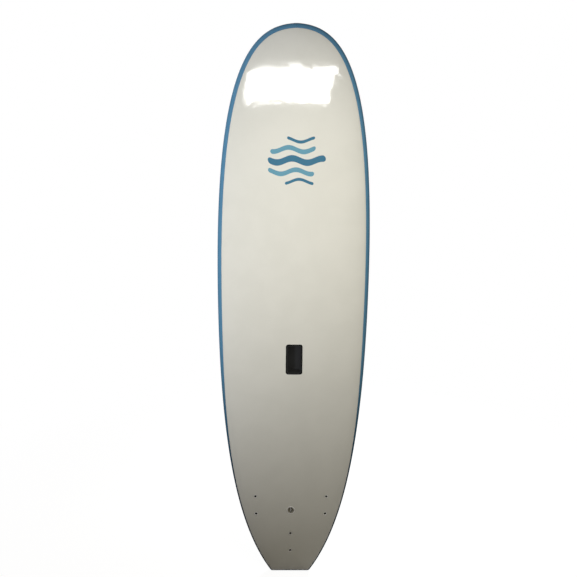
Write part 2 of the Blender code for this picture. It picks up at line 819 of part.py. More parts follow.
def make_cup(frame):
    """The cup, with a steel bar let into its wall along the board."""
    profile = [
        (SCREW_BORE, CUP_FLOOR),
        (LEASH_MOUTH_RADIUS, CUP_FLOOR),
        (LEASH_MOUTH_RADIUS, LEASH_PROUD - FERRULE_RIM),
        (LEASH_MOUTH_RADIUS + FERRULE_RIM, LEASH_PROUD),
        (CUP_FLANGE_RADIUS - FERRULE_RIM, LEASH_PROUD),
        (CUP_FLANGE_RADIUS, LEASH_PROUD - FERRULE_RIM),
        (CUP_FLANGE_RADIUS, CUP_UNDER),
        (CUP_RADIUS, CUP_UNDER),
        (CUP_RADIUS, CUP_BASE),
        (SCREW_BORE, CUP_BASE),
    ]
    cup = solid("leash_plug_cup", turned(profile, ROUND_STEPS), "pale_plastic", frame)
    place = (0, 0, LEASH_PROUD - LEASH_BAR_DEPTH)
    lying = (math.pi / 2, 0, 0)
    half = CUP_RADIUS - LEASH_BAR_WALL
    bar = cylinder(LEASH_BAR_RADIUS, -half + GAP, half - GAP)
    solid("leash_plug_bar", bar, "stainless", frame, place, lying)
    seat = cylinder(LEASH_BAR_RADIUS + GAP, -half, half)
    boolean(cup, solid("leash_bar_seat", seat, "stainless", frame, place, lying))
    even_shading(cup)


def make_leash_base(frame, bottom_z):
    """A disc let into the bottom, with a threaded stem up to just under the cup."""
    disc_top = bottom_z + LEASH_BASE_SUNK - GAP
    disc_low = disc_top - LEASH_BASE_FLANGE
    bore_low = disc_low + LEASH_BASE_WALL
    stem_top = CUP_BASE - LEASH_DRAW
    profile = [
        (0, bore_low),
        (SCREW_BORE, bore_low),
        (SCREW_BORE, stem_top),
        (STEM_RADIUS, stem_top),
        (STEM_RADIUS, disc_top),
        (LEASH_BASE_RADIUS, disc_top),
        (LEASH_BASE_RADIUS, disc_low + LEASH_BASE_CHAMFER),
        (LEASH_BASE_RADIUS - LEASH_BASE_CHAMFER, disc_low),
        (0, disc_low),
    ]
    solid("leash_plug_base", turned(profile, ROUND_STEPS), "black_plastic", frame)


def make_leash_plug(board, deck, core, bottom):
    """A cup in the deck, pulled down by a screw into a base from the bottom."""
    frame = deck_frame("leash_place", board, 0, LEASH_FROM_TAIL)
    bottom_z = -drop_to_bottom(frame)
    make_cup(frame)
    make_leash_base(frame, bottom_z)
    head_low = CUP_FLOOR + GAP
    solid("leash_plug_screw", screw_mesh(head_low, head_low - LEASH_SCREW_LENGTH), "stainless", frame)
    pocket = [
        (0, CUP_BASE - GAP),
        (CUP_RADIUS + GAP, CUP_BASE - GAP),
        (CUP_RADIUS + GAP, CUP_UNDER - GAP),
        (CUP_FLANGE_RADIUS + GAP, CUP_UNDER - GAP),
        (CUP_FLANGE_RADIUS + GAP, PAST),
        (0, PAST),
    ]
    cup_pocket = solid("leash_pocket", turned(pocket, ROUND_STEPS), "core_foam", frame)
    boolean(deck, cup_pocket)
    boolean(core, cup_pocket)
    hole = cylinder(STEM_RADIUS + GAP, bottom_z - PAST, CUP_BASE)
    stem_hole = solid("leash_stem_hole", hole, "core_foam", frame)
    boolean(core, stem_hole)
    boolean(bottom, stem_hole)
    recess = cylinder(LEASH_BASE_RADIUS + GAP, bottom_z - PAST, bottom_z + LEASH_BASE_SUNK, ROUND_STEPS)
    boolean(bottom, solid("leash_base_recess", recess, "core_foam", frame))


def screw_mesh(seat, tip):
    """A pan-head screw, head up, with its head's underside at seat."""
    head = seat + SCREW_HEAD_HEIGHT
    profile = [
        (0, tip),
        (SCREW_RADIUS - SCREW_POINT, tip),
        (SCREW_RADIUS, tip + SCREW_POINT),
        (SCREW_RADIUS, seat),
        (SCREW_HEAD_RADIUS, seat),
        (SCREW_HEAD_RADIUS, head - SCREW_HEAD_ROUND),
        (SCREW_HEAD_RADIUS - SCREW_HEAD_ROUND, head),
        (0, head),
    ]
    return turned(profile)


# Fins


def fin_curve(base_x, handles):
    """One edge of the fin in (distance forward of its middle, depth), from the base to the tip."""
    (base_share, first_depth), (rake_share, second_depth) = handles
    return (
        Vector((base_x, 0)),
        Vector((base_x * 2 * base_share, FIN_DEPTH * first_depth)),
        Vector((-FIN_RAKE * rake_share, FIN_DEPTH * second_depth)),
        Vector((-FIN_RAKE, FIN_DEPTH)),
    )


def fin_blade(inner_share):
    """The raked, foiled blade, from inside its foot down to its tip. inner_share flattens the -x side."""
    lead_curve = fin_curve(FIN_BASE / 2, FIN_LEAD)
    trail_curve = fin_curve(-FIN_BASE / 2, FIN_TRAIL)
    start = FIN_FOOT_THICKNESS / 2
    last = FIN_DEPTH - FIN_TIP_TRIM
    rings = []
    for i in range(FIN_LEVELS + 1):
        depth = start + (last - start) * math.sin(math.pi / 2 * i / FIN_LEVELS)
        lead = bezier(lead_curve, solve(lambda t: bezier(lead_curve, t).y, depth)).x
        trail = bezier(trail_curve, solve(lambda t: bezier(trail_curve, t).y, depth)).x
        half = (FIN_THICKNESS + (FIN_TIP_THICKNESS - FIN_THICKNESS) * depth / FIN_DEPTH) / 2
        outer = [(lead + (trail - lead) * along, half * full) for along, full in FIN_FOIL]
        inner = [(y, -x * inner_share) for y, x in reversed(outer)]
        edge = [(trail, FIN_EDGE / 2), (trail, -FIN_EDGE / 2)]
        rings.append([Vector((x, y, -depth)) for y, x in outer + edge + inner])
    return joined_rings(rings, closed=True, capped=True)


def make_fin(name, frame, cant, inner_share, mirrored):
    """A blade on a rounded foot, with a boss and a hole for a threaded insert at each screw."""
    blade = fin_blade(inner_share)
    if mirrored:
        bmesh.ops.scale(blade, verts=blade.verts, vec=(-1, 1, 1))
    bmesh.ops.rotate(blade, verts=blade.verts, cent=(0, 0, 0), matrix=Matrix.Rotation(cant, 3, "Y"))
    fin = solid(name, blade, "fin_rubber", frame)
    half_x = FIN_FOOT_HALF_WIDTH
    half_y = FIN_FOOT_HALF_LENGTH
    corner = half_x - FIN_EDGE
    low = -FIN_FOOT_THICKNESS
    chamfer = FIN_FOOT_CHAMFER
    rings = [
        rounded_rectangle(half_x - chamfer, half_y - chamfer, corner - chamfer, low),
        rounded_rectangle(half_x, half_y, corner, low + chamfer),
        rounded_rectangle(half_x, half_y, corner, -GAP),
    ]
    foot = joined_rings(rings, closed=True, capped=True)
    boolean(fin, solid(f"{name}_foot", foot, "fin_rubber", frame), "UNION")
    boss = [
        (0, -FIN_BOSS_DEPTH),
        (FIN_BOSS_RADIUS - FIN_BOSS_TAPER, -FIN_BOSS_DEPTH),
        (FIN_BOSS_RADIUS, -FIN_BOSS_DEPTH + FIN_BOSS_TAPER),
        (FIN_BOSS_RADIUS, low / 2),
        (0, low / 2),
    ]
    ends = {"front": SCREW_SPACING / 2, "rear": -SCREW_SPACING / 2}
    for end, along in ends.items():
        place = (0, along, 0)
        boolean(fin, solid(f"{name}_boss_{end}", turned(boss), "fin_rubber", frame, place), "UNION")
    for end, along in ends.items():
        hole = cylinder(INSERT_RADIUS + GAP, INSERT_END - GAP, PAST)
        boolean(fin, solid(f"{name}_hole_{end}", hole, "fin_rubber", frame, (0, along, 0)))
    even_shading(fin)


def make_fixing(label, frame, along, deck, core, bottom):
    """One screw from the deck: a ferrule through the foam, a washer, the screw and the fin's insert."""
    place = (0, along, 0)
    deck_z = rise_to_deck(frame, along)
    top = deck_z - FERRULE_SUNK
    under = top - FERRULE_FLANGE
    low = BOTTOM_WALL + FERRULE_END_CLEARANCE
    head_seat = deck_z - SCREW_SINK - SCREW_HEAD_HEIGHT
    washer_top = head_seat - GAP
    washer_low = washer_top - WASHER_THICKNESS
    shoulder = washer_low - GAP
    ferrule = [
        (SCREW_BORE, low),
        (SCREW_BORE, shoulder),
        (FERRULE_BORE, shoulder),
        (FERRULE_BORE, top - FERRULE_RIM),
        (FERRULE_BORE + FERRULE_RIM, top),
        (FERRULE_FLANGE_RADIUS - FERRULE_RIM, top),
        (FERRULE_FLANGE_RADIUS, top - FERRULE_RIM),
        (FERRULE_FLANGE_RADIUS, under),
        (FERRULE_RADIUS, under),
        (FERRULE_RADIUS, low),
    ]
    solid(f"ferrule_{label}", turned(ferrule), "pale_plastic", frame, place)
    washer = tube(SCREW_BORE, WASHER_RADIUS, washer_low, washer_top)
    solid(f"washer_{label}", washer, "stainless", frame, place)
    solid(f"screw_{label}", screw_mesh(head_seat, INSERT_END + SCREW_SHORT), "stainless", frame, place)
    solid(f"insert_{label}", tube(SCREW_BORE, INSERT_RADIUS, INSERT_END, INSERT_TOP), "brass", frame, place)

    # A stepped hole for the ferrule in the deck and the core, and a plain one in the bottom
    pocket = [
        (0, BOTTOM_WALL / 2),
        (FERRULE_RADIUS + GAP, BOTTOM_WALL / 2),
        (FERRULE_RADIUS + GAP, under - GAP),
        (FERRULE_FLANGE_RADIUS + GAP, under - GAP),
        (FERRULE_FLANGE_RADIUS + GAP, deck_z + PAST),
        (0, deck_z + PAST),
    ]
    stepped = solid(f"ferrule_pocket_{label}", turned(pocket), "core_foam", frame, place)
    boolean(deck, stepped)
    boolean(core, stepped)
    plain = solid(f"screw_hole_{label}", cylinder(SCREW_BORE, -PAST, low + PAST), "core_foam", frame, place)
    boolean(bottom, plain)


def make_fins(board, deck, cores, bottom):
    """Three fins. The side pair leans out, and is flatter towards the middle of the board."""
    side = SIDE_FIN_INNER
    fins = (
        ("left", -SIDE_FIN_OUT, SIDE_FIN_FROM_TAIL, SIDE_FIN_TOE, SIDE_FIN_CANT, side, True),
        ("right", SIDE_FIN_OUT, SIDE_FIN_FROM_TAIL, -SIDE_FIN_TOE, -SIDE_FIN_CANT, side, False),
        ("centre", 0.0, CENTRE_FIN_FROM_TAIL, 0.0, 0.0, 1.0, False),
    )
    for name, x, y, toe, cant, inner_share, mirrored in fins:
        frame = bottom_frame(f"fin_place_{name}", board, x, y, toe)
        core = cores[f"core_{name}"]
        make_fin(f"fin_{name}", frame, cant, inner_share, mirrored)
        make_fixing(f"{name}_front", frame, SCREW_SPACING / 2, deck, core, bottom)
        make_fixing(f"{name}_rear", frame, -SCREW_SPACING / 2, deck, core, bottom)


def main():
    clear_scene()
    tail_middle = rocker(0.0) + APEX_SHARE * thickness(0.0)
    board = empty("board", None, (0, tail_middle, 0), (math.pi / 2, 0, 0))
    deck = skin("deck_skin", deck_strip, DECK_WALL, "deck_foam", board)
    bottom = skin("bottom_skin", bottom_strip, BOTTOM_WALL, "slick", board)
    make_rails(board)
    cores = make_core(board)
    make_handle(board, deck, cores["core_centre"])
    make_leash_plug(board, deck, cores["core_centre"], bottom)
    make_fins(board, deck, cores, bottom)
    even_shading(deck)
    even_shading(bottom)


main()
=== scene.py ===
# %% [markdown]
# # A soft-top surfboard
#
# A soft-top is a beginner's surfboard: a foam core with wooden stringers, wrapped in softer foam on the
# deck and the rails, with a slick plastic sheet underneath. This one stands on its tail as in a shop. Its
# nose points up along Z, the deck faces the camera towards -Y, and the fins are behind it towards +Y.
#
# A measured model of the board already exists, with every piece at its real size and place. It is plain,
# because it has few facets. So the lesson is to load it as a fixed frame, and then to build each piece
# that shows once more, smooth and finished, exactly where the plain one sits.

# %% Load the measured board
import functools
import math

import bmesh
import bpy
from mathutils import Matrix, Vector
from mathutils.bvhtree import BVHTree


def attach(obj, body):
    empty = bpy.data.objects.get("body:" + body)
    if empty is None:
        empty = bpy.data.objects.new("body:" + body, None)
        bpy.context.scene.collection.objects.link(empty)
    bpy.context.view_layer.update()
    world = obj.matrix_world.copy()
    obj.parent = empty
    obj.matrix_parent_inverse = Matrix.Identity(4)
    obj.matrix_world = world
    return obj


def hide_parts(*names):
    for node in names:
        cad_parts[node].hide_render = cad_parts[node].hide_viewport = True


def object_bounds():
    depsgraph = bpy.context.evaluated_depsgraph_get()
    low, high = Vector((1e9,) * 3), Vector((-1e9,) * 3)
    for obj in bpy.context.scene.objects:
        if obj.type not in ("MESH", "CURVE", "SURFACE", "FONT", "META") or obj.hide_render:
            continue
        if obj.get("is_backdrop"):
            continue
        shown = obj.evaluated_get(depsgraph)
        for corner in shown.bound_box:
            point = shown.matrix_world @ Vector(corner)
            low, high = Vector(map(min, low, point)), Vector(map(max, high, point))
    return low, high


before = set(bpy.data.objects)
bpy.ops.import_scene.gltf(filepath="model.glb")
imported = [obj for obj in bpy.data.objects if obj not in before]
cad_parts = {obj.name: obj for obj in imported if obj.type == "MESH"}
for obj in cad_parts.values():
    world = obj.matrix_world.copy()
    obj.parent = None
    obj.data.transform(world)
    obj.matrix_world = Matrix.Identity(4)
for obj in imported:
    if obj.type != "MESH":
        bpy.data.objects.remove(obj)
CAD_LOW, CAD_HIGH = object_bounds()
LENGTH = CAD_HIGH.z - CAD_LOW.z
HALF_WIDTH = CAD_HIGH.x
print(f"{len(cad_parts)} measured pieces, {LENGTH:.3f} m long and {2 * HALF_WIDTH:.4f} m wide")

# %% [markdown]
# ## The camera
#
# The photograph was taken from two and a half metres away, with the lens at head height and looking
# slightly down. The camera could be placed by eye, but then every later comparison would be off. It is
# better worked out from known points: the outline's ends and sides and the screws, whose real places are
# known, fix where the lens was, how far it was turned and how long it is.

# %% Camera
CAMERA_PLACE = (-0.06, -2.4775, 1.8)
CAMERA_AIM = (-0.0182, 0.0, 1.2051)
CAMERA_ROLL = math.radians(0.614)
LENS_MM = 42.30
SENSOR_MM = 36.0


def aimed(name, data, place, aim, roll=0.0):
    """Puts a camera or a lamp into the scene, looking from one place to another."""
    thing = bpy.data.objects.new(name, data)
    looking = (Vector(aim) - Vector(place)).to_track_quat("-Z", "Y").to_matrix()
    rolled = looking @ Matrix.Rotation(roll, 3, "Z")
    thing.matrix_world = Matrix.Translation(place) @ rolled.to_4x4()
    bpy.context.scene.collection.objects.link(thing)
    return thing


camera_data = bpy.data.cameras.new("camera")
camera_data.lens = LENS_MM
camera_data.sensor_width = SENSOR_MM
bpy.context.scene.camera = aimed("camera", camera_data, CAMERA_PLACE, CAMERA_AIM, CAMERA_ROLL)
print(f"camera {math.hypot(*CAMERA_PLACE):.2f} m from the tail, lens {LENS_MM} mm")

# %% [markdown]
# ## Shader maths that reads like Python
#
# Materials here are worked out by nodes, and a formula in nodes soon takes a page of clicks. One small
# class wraps an output socket, so that `1 - mask * 0.5` adds its own Math nodes. A second class is a tree
# of nodes, and its one method adds any other node: first its settings, then what goes into its sockets.
# A material is such a tree with a shader at its end.
#
# Everything is in metres, so a noise of scale 1000 has grains about a millimetre wide, and the relief of
# a bump is the real height that it stands for.

# %% Shader classes


def node_maths(operation, swapped=False):
    """A method that adds one Math node."""

    def method(wire, other=0.0):
        first, second = (other, wire) if swapped else (wire, other)
        return wire.nodes.add("ShaderNodeMath", {"operation": operation}, {0: first, 1: second})

    return method


class Wire:
    """A number on its way through the nodes."""

    def __init__(self, nodes, socket):
        self.nodes = nodes
        self.socket = socket

    __add__ = __radd__ = node_maths("ADD")
    __mul__ = __rmul__ = node_maths("MULTIPLY")
    __sub__ = node_maths("SUBTRACT")
    __rsub__ = node_maths("SUBTRACT", swapped=True)
    __abs__ = node_maths("ABSOLUTE")
    at_least = node_maths("MAXIMUM")
    sine = node_maths("SINE")
    root = node_maths("SQRT")

    def across(self, other):
        """The diagonal of two sides, and so a distance from two differences."""
        return (self * self + other * other).root()

    def fade(self, start, end):
        """0 at start and before, 1 at end and past it, smooth between them."""
        values = {"Value": self, "From Min": start, "From Max": end}
        return self.nodes.add("ShaderNodeMapRange", {"interpolation_type": "SMOOTHSTEP"}, values)


class Nodes:
    """A node tree, whose nodes are added one at a time."""

    def __init__(self, tree):
        self.tree = tree

    def add(self, kind, settings=None, values=None, output=0):
        node = self.tree.nodes.new(kind)
        for key, value in (settings or {}).items():
            setattr(node, key, value)
        for key, value in (values or {}).items():
            self.plug(node.inputs[key], value)
        return Wire(self, node.outputs[output])

    def plug(self, socket, value):
        """Links a wire, or sets a number, a place or a colour, which is opaque."""
        if isinstance(value, Wire):
            self.tree.links.new(value.socket, socket)
        else:
            socket.default_value = (*value, 1.0) if socket.type == "RGBA" else value

    def mix(self, share, first, second):
        """One colour turning into another. A Mix node's colour sockets are its sixth and seventh."""
        return self.add("ShaderNodeMix", {"data_type": "RGBA"}, {0: share, 6: first, 7: second}, output=2)

    def seen_directly(self):
        """1 for rays from the camera, a mirror or a clear body, 0 for the light that bounces about."""
        outputs = self.add("ShaderNodeLightPath").socket.node.outputs
        kinds = ("Camera", "Glossy", "Transmission")
        camera, mirror, clear = (Wire(self, outputs[f"Is {kind} Ray"]) for kind in kinds)
        return camera.at_least(mirror).at_least(clear)


class Finish(Nodes):
    """A material with one Principled shader, and the slot that its pieces take in the record."""

    def __init__(self, name, slot=None, **plain):
        self.material = bpy.data.materials.new(name)
        self.material.use_nodes = True
        super().__init__(self.material.node_tree)
        self.shader = self.tree.nodes["Principled BSDF"]
        self.slot = slot or name
        self.set(**plain)

    def set(self, **values):
        for socket, value in values.items():
            self.plug(self.shader.inputs[socket.replace("_", " ")], value)

    def place(self):
        """Object coordinates, in metres, as one vector."""
        return self.add("ShaderNodeTexCoord", output="Object")

    def axes(self):
        """The same place as three numbers."""
        split = self.add("ShaderNodeSeparateXYZ", None, {0: self.place()}).socket.node
        return [Wire(self, split.outputs[axis]) for axis in "XYZ"]

    def noise(self, scale, detail=2.0, stretch=None):
        """Grain, which runs one way if stretch scales the three axes unlike each other."""
        place = self.place()
        if stretch:
            place = self.add("ShaderNodeMapping", None, {"Vector": place, "Scale": stretch})
        return self.add("ShaderNodeTexNoise", None, {"Vector": place, "Scale": scale, "Detail": detail})

    def cells(self, scale):
        return self.add("ShaderNodeTexVoronoi", None, {"Vector": self.place(), "Scale": scale}, "Distance")

    def bumps(self, *layers):
        """Adds up layers of (grain, relief) for the normal. The grain is a wire, or a noise's scale."""
        height = 0
        for grain, relief in layers:
            height += (grain if isinstance(grain, Wire) else self.noise(grain)) * relief
        values = {"Height": height, "Distance": 1.0, "Strength": 1.0}
        self.set(Normal=self.add("ShaderNodeBump", None, values))


print("shader classes ready")

# %% [markdown]
# ## The lines of the board
#
# A shaper draws a board with three lines: the plan outline, the rocker, which is how its bottom curves up
# at the ends, and the foil, which is its thickness from tail to nose. Each could be a drawn curve object.
# Here they are short functions, because then one slice of the board can be asked for anywhere, and every
# sheet of foam or plastic is cut from the same lines.
#
# The board is drawn lying on its bottom: x across, y from tail to nose, z up to the deck. It is stood up
# afterwards.

# %% Outline
WIDE_POINT = LENGTH / 2 + 0.139
TAIL_HALF = 0.0783  # half the straight tail edge, to where its corners would be
CORNER_RADIUS = 0.012
TAIL_ANGLE = math.radians(35.2)  # between the rail line at the tail and the length
CORNER_TURN = math.pi / 2 - TAIL_ANGLE
CORNER_SETBACK = CORNER_RADIUS * math.tan(CORNER_TURN / 2)
TAIL_STRAIGHT = TAIL_HALF - CORNER_SETBACK
LEAVING = Vector((math.sin(TAIL_ANGLE), math.cos(TAIL_ANGLE)))
CORNER = Vector((TAIL_HALF, 0))
NOSE_TIP = 4.0  # the last value along the outline


def curve(*points):
    """A curve's two ends and, between them, the two handles that pull it full or lean."""
    return [Vector(point) for point in points]


HIP_CURVE = curve(
    CORNER + LEAVING * CORNER_SETBACK,
    CORNER + LEAVING * (0.245 * WIDE_POINT),
    (HALF_WIDTH, 0.582 * WIDE_POINT),
    (HALF_WIDTH, WIDE_POINT),
)
NOSE_CURVE = curve(
    (HALF_WIDTH, WIDE_POINT),
    (HALF_WIDTH, WIDE_POINT + 0.864 * (LENGTH - WIDE_POINT)),
    (0.537 * HALF_WIDTH, LENGTH - 0.006),
    (0, LENGTH),
)


def bezier(points, t):
    a, b, c, d = points
    s = 1 - t
    return a * s**3 + b * (3 * s * s * t) + c * (3 * s * t * t) + d * t**3


def bezier_slope(points, t):
    a, b, c, d = points
    s = 1 - t
    return ((b - a) * (s * s) + (c - b) * (2 * s * t) + (d - c) * (t * t)) * 3


def outline(u):
    """One side of the plan: the tail edge from 0 to 1, its corner to 2, the hip to 3, the nose to 4."""
    if u <= 1:
        return Vector((TAIL_STRAIGHT * u, 0))
    if u <= 2:
        turn = CORNER_TURN * (u - 1)
        return Vector((TAIL_STRAIGHT, 0)) + Vector((math.sin(turn), 1 - math.cos(turn))) * CORNER_RADIUS
    if u <= 3:
        return bezier(HIP_CURVE, u - 2)
    return bezier(NOSE_CURVE, min(u, NOSE_TIP) - 3)


print(f"wide point {WIDE_POINT:.3f} m from the tail")

# %% Rocker and foil
FLAT_FROM = 0.80  # the bottom is flat from here
FLAT_TO = 1.15  # to here
TAIL_LIFT = 0.045
NOSE_LIFT = 0.115
TAIL_BEND = 2.0
NOSE_BEND = 2.4
THICK_AT = 1.05
THICKNESS = 0.0795
TAIL_THICKNESS = 0.040
NOSE_THICKNESS = 0.032
FOIL_BEND = 2.3


def rocker(y):
    if y > FLAT_TO:
        return NOSE_LIFT * ((y - FLAT_TO) / (LENGTH - FLAT_TO)) ** NOSE_BEND
    return TAIL_LIFT * (max(FLAT_FROM - y, 0) / FLAT_FROM) ** TAIL_BEND


def foil(y):
    end, thin = (LENGTH, NOSE_THICKNESS) if y > THICK_AT else (0, TAIL_THICKNESS)
    return THICKNESS - (THICKNESS - thin) * ((y - THICK_AT) / (end - THICK_AT)) ** FOIL_BEND


print(f"the bottom rises {NOSE_LIFT * 1000:.0f} mm to the nose and {TAIL_LIFT * 1000:.0f} mm to the tail")

# %% [markdown]
# ## A slice of the board
#
# A slice runs from the rail in to the centre line. Its deck is one curve that climbs from the rail and
# flattens into the crown, and its bottom turns under the rail in a soft tuck and then runs flat. Near the
# ends the slices fan out, as a shaper's strokes do, so that the rail keeps its round shape right round
# the nose and along the tail.
#
# The slices could stand square to the length all the way, but then the nose and tail would be chopped
# ends that need another tool to round off.

# %% Slices
APEX_SHARE = 0.46  # the rail's widest line, as a share of the thickness
RAIL_FLAT = 0.010
TAIL_FAN = 0.110
NOSE_FAN = 0.120
CROWN_HANDLE = 0.12  # the deck curve's handle at the rail, as a share of the climb below the crown
TUCK_DOWN = 0.2  # the tuck curve's handle at the rail, as a share of its height
TUCK_IN = 0.35  # and its handle at the bottom, as a share of its width
TUCK = 0.045
TUCK_SHARE = 0.7  # near the ends, where the board is narrow
DECK_SEAM = (0.0065, 0.0155)  # how far in from the rail it lies, near the tail and near the nose
SEAM_MOVES = (0.30, 1.15)  # where along the board it goes from the one to the other
BOTTOM_SEAM = 0.024
BOTTOM_SEAM_SHARE = 0.8
GAP = 0.0003


def solve(function, target, low=0.0, high=1.0):
    """Where a rising function reaches target."""
    for _ in range(40):
        middle = (low + high) / 2
        if function(middle) < target:
            low = middle
        else:
            high = middle
    return (low + high) / 2


def part_way(value, start, end):
    """How far value has come from start to end, from 0 to 1."""
    return min(max((value - start) / (end - start), 0), 1)


def steps(first, *stretches):
    """Values in even steps. Each stretch is the value that it ends at and its number of steps."""
    values = [first]
    for last, count in stretches:
        start = values[-1]
        values += [start + (last - start) * i / count for i in range(1, count + 1)]
    return values


class Slice:
    """Curves in (distance in from the rail, height), and where the foam sheets meet on them."""

    def __init__(self, u):
        self.edge = outline(u)
        self.centre = Vector((0, TAIL_FAN + self.edge.y * (LENGTH - TAIL_FAN - NOSE_FAN) / LENGTH))
        self.reach = (self.edge - self.centre).length
        self.height = foil(self.centre.y)
        high = APEX_SHARE * self.height + RAIL_FLAT / 2
        low = APEX_SHARE * self.height - RAIL_FLAT / 2
        self.tuck = min(TUCK, self.reach * TUCK_SHARE)
        shoulder = self.height - (self.height - high) * CROWN_HANDLE
        crown = Vector((self.reach, self.height))
        self.deck = curve((0, high), (0, shoulder), (self.reach / 2, self.height), crown)
        self.bottom = curve((0, low), (0, low * TUCK_DOWN), (self.tuck * TUCK_IN, 0), (self.tuck, 0))
        share = part_way(self.edge.y, *SEAM_MOVES)
        deck_inset = DECK_SEAM[0] + (DECK_SEAM[1] - DECK_SEAM[0]) * share * share * (3 - 2 * share)
        bottom_inset = min(BOTTOM_SEAM, self.tuck * BOTTOM_SEAM_SHARE)
        self.deck_seam = solve(lambda t: bezier(self.deck, t).x, deck_inset)
        self.bottom_seam = solve(lambda t: bezier(self.bottom, t).x, bottom_inset)

    def past(self, drawn, seam, side):
        """The value on a drawn curve that lies half a gap past a seam."""
        return seam + side * GAP / 2 / bezier_slope(drawn, seam).length

    def point(self, drawn, side):
        """From the slice's own axes to the board, left or right of its middle by the sign of side."""
        plan = self.edge + (self.centre - self.edge) * (drawn.x / self.reach)
        height = drawn.y * foil(plan.y) / self.height + rocker(plan.y)
        return Vector((plan.x * math.copysign(1, side), plan.y, height))


@functools.lru_cache(maxsize=None)
def slice_at(u):
    return Slice(u)


print(f"the tuck is {slice_at(3.0).tuck * 1000:.0f} mm wide at the wide point")

# %% [markdown]
# ## Sheets laid over the board
#
# Foam and plastic come as flat sheets, so each skin starts as a flat grid too. `create_grid` makes it,
# and every point is then moved onto the board: its row says which slice, its column how far across. The
# rows at the very tail and nose fold onto the centre line, where merging joins the two halves.
#
# `solidify` then gives the sheet its wall, inwards, and a small bevel rounds the edge where it meets the
# next sheet, which is what makes a seam show as a fine groove. Last it is stood up on its tail.

# %% Sheet helpers
MERGE = 1e-6
TAIL_MIDDLE = rocker(0) + APEX_SHARE * foil(0)
STAND = Matrix.Translation((0, TAIL_MIDDLE, 0)) @ Matrix.Rotation(math.pi / 2, 4, "X")


def laid_over(slices, lines, surface):
    """A flat grid moved onto surface(slice value, line value)."""
    made = bmesh.new()
    bmesh.ops.create_grid(made, x_segments=len(lines) - 1, y_segments=len(slices) - 1, size=0.5)
    for vert in made.verts:
        line = lines[round((vert.co.x + 0.5) * (len(lines) - 1))]
        along = slices[round((vert.co.y + 0.5) * (len(slices) - 1))]
        vert.co = surface(along, line)
    bmesh.ops.remove_doubles(made, verts=made.verts, dist=MERGE)
    bmesh.ops.dissolve_degenerate(made, edges=made.edges, dist=MERGE)
    return made


def bevel(made, geom, width, segments=2, affect="EDGES"):
    shape = {"segments": segments, "profile": 0.5, "affect": affect, "material": -1}
    return bmesh.ops.bevel(made, geom=geom, offset=width, clamp_overlap=True, **shape)


def moved(made, place):
    bmesh.ops.transform(made, matrix=place, verts=made.verts)
    return made


def placed(made, place):
    """Moves a shape drawn at the origin to its place, and onto the standing board."""
    return moved(made, STAND @ place)


def walled(made, outward, wall, edge_round):
    """Turns a sheet's faces outward, gives it its thickness behind them and rounds its outer edge."""
    bmesh.ops.recalc_face_normals(made, faces=made.faces)
    if sum(face.normal.dot(outward) * face.calc_area() for face in made.faces) < 0:
        bmesh.ops.reverse_faces(made, faces=made.faces)
    edge_line = [edge for edge in made.edges if edge.is_boundary]
    bmesh.ops.solidify(made, geom=made.faces, thickness=wall)
    bevel(made, edge_line, edge_round)
    return placed(made, Matrix())


print(f"the tail's flat middle is {TAIL_MIDDLE * 1000:.1f} mm above the bottom's flat")

# %% [markdown]
# ## From shapes to finished pieces
#
# A bmesh becomes an object whose place is in its mesh, and the object itself stays at the origin. Holes
# are cut with Boolean modifiers, whose result is then made the object's own mesh. Small fittings are made
# at the origin and moved last. Then a piece gets its material and rides on the root body, and the measured
# piece that it stands for is hidden.

# %% Piece helpers
SMOOTH_ANGLE = math.radians(40)
PIECES = []


def smooth(mesh):
    """Smooth where the faces nearly agree, and sharp elsewhere."""
    mesh.shade_smooth()
    mesh.set_sharp_from_angle(angle=SMOOTH_ANGLE)


def link(name, made):
    """A bmesh becomes an object."""
    mesh = bpy.data.meshes.new(name)
    made.to_mesh(mesh)
    made.free()
    smooth(mesh)
    piece = bpy.data.objects.new(name, mesh)
    bpy.context.scene.collection.objects.link(piece)
    return piece


def combined(piece, operation, *others):
    """Cuts the other shapes away, or joins them on, and removes them."""
    tools = [link(f"tool_{index}", made) for index, made in enumerate(others)]
    for tool in tools:
        step = piece.modifiers.new(tool.name, "BOOLEAN")
        step.operation = operation
        step.object = tool
    ready = piece.evaluated_get(bpy.context.evaluated_depsgraph_get())
    mesh = bpy.data.meshes.new_from_object(ready)
    piece.modifiers.clear()
    piece.data = mesh
    smooth(mesh)
    for tool in tools:
        bpy.data.objects.remove(tool)
    return piece


def coat(piece, finish):
    piece.data.materials.clear()
    piece.data.materials.append(finish.material)


def keep(piece, finish, node, place=None):
    """Moves a piece to its place, puts it on the root body, gives it its finish and hides the measured
    piece.
    """
    if place:
        piece.data.transform(STAND @ place)
    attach(piece, "root")
    coat(piece, finish)
    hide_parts(node)
    PIECES.append(piece)
    print(f"{piece.name}: {len(piece.data.polygons)} faces")
    return piece


# %% [markdown]
# ## Where the fittings sit
#
# The handle and the leash plug lie on the deck, and the fins on the bottom, each square to the surface
# below it. Their angles could be copied as numbers. Instead a fine sheet of the bare deck is laid first,
# and a ray dropped onto it finds the height, much as one would set a square on the real board.

# %% Deck lines and the places of the fittings
ALONG = steps(0, (1, 16), (2, 8), (3, 70), (NOSE_TIP, 96))
DECK_LINES = steps(-1, (1, 64))
PROBE = 0.01  # how far before and behind a point its slope is read


def on_deck(u, across):
    """across is 0 on the centre line and 1 or -1 at the seams with the rails."""
    cut = slice_at(u)
    t = 1 + (cut.past(cut.deck, cut.deck_seam, 1) - 1) * abs(across)
    return cut.point(bezier(cut.deck, t), across)


bare_deck = laid_over(ALONG, DECK_LINES, on_deck)
deck_tree = BVHTree.FromBMesh(bare_deck)
bare_deck.free()


def deck_height(x, y):
    return deck_tree.ray_cast(Vector((x, y, 1)), Vector((0, 0, -1)))[0].z


def bottom_height(x, y):
    return rocker(y)


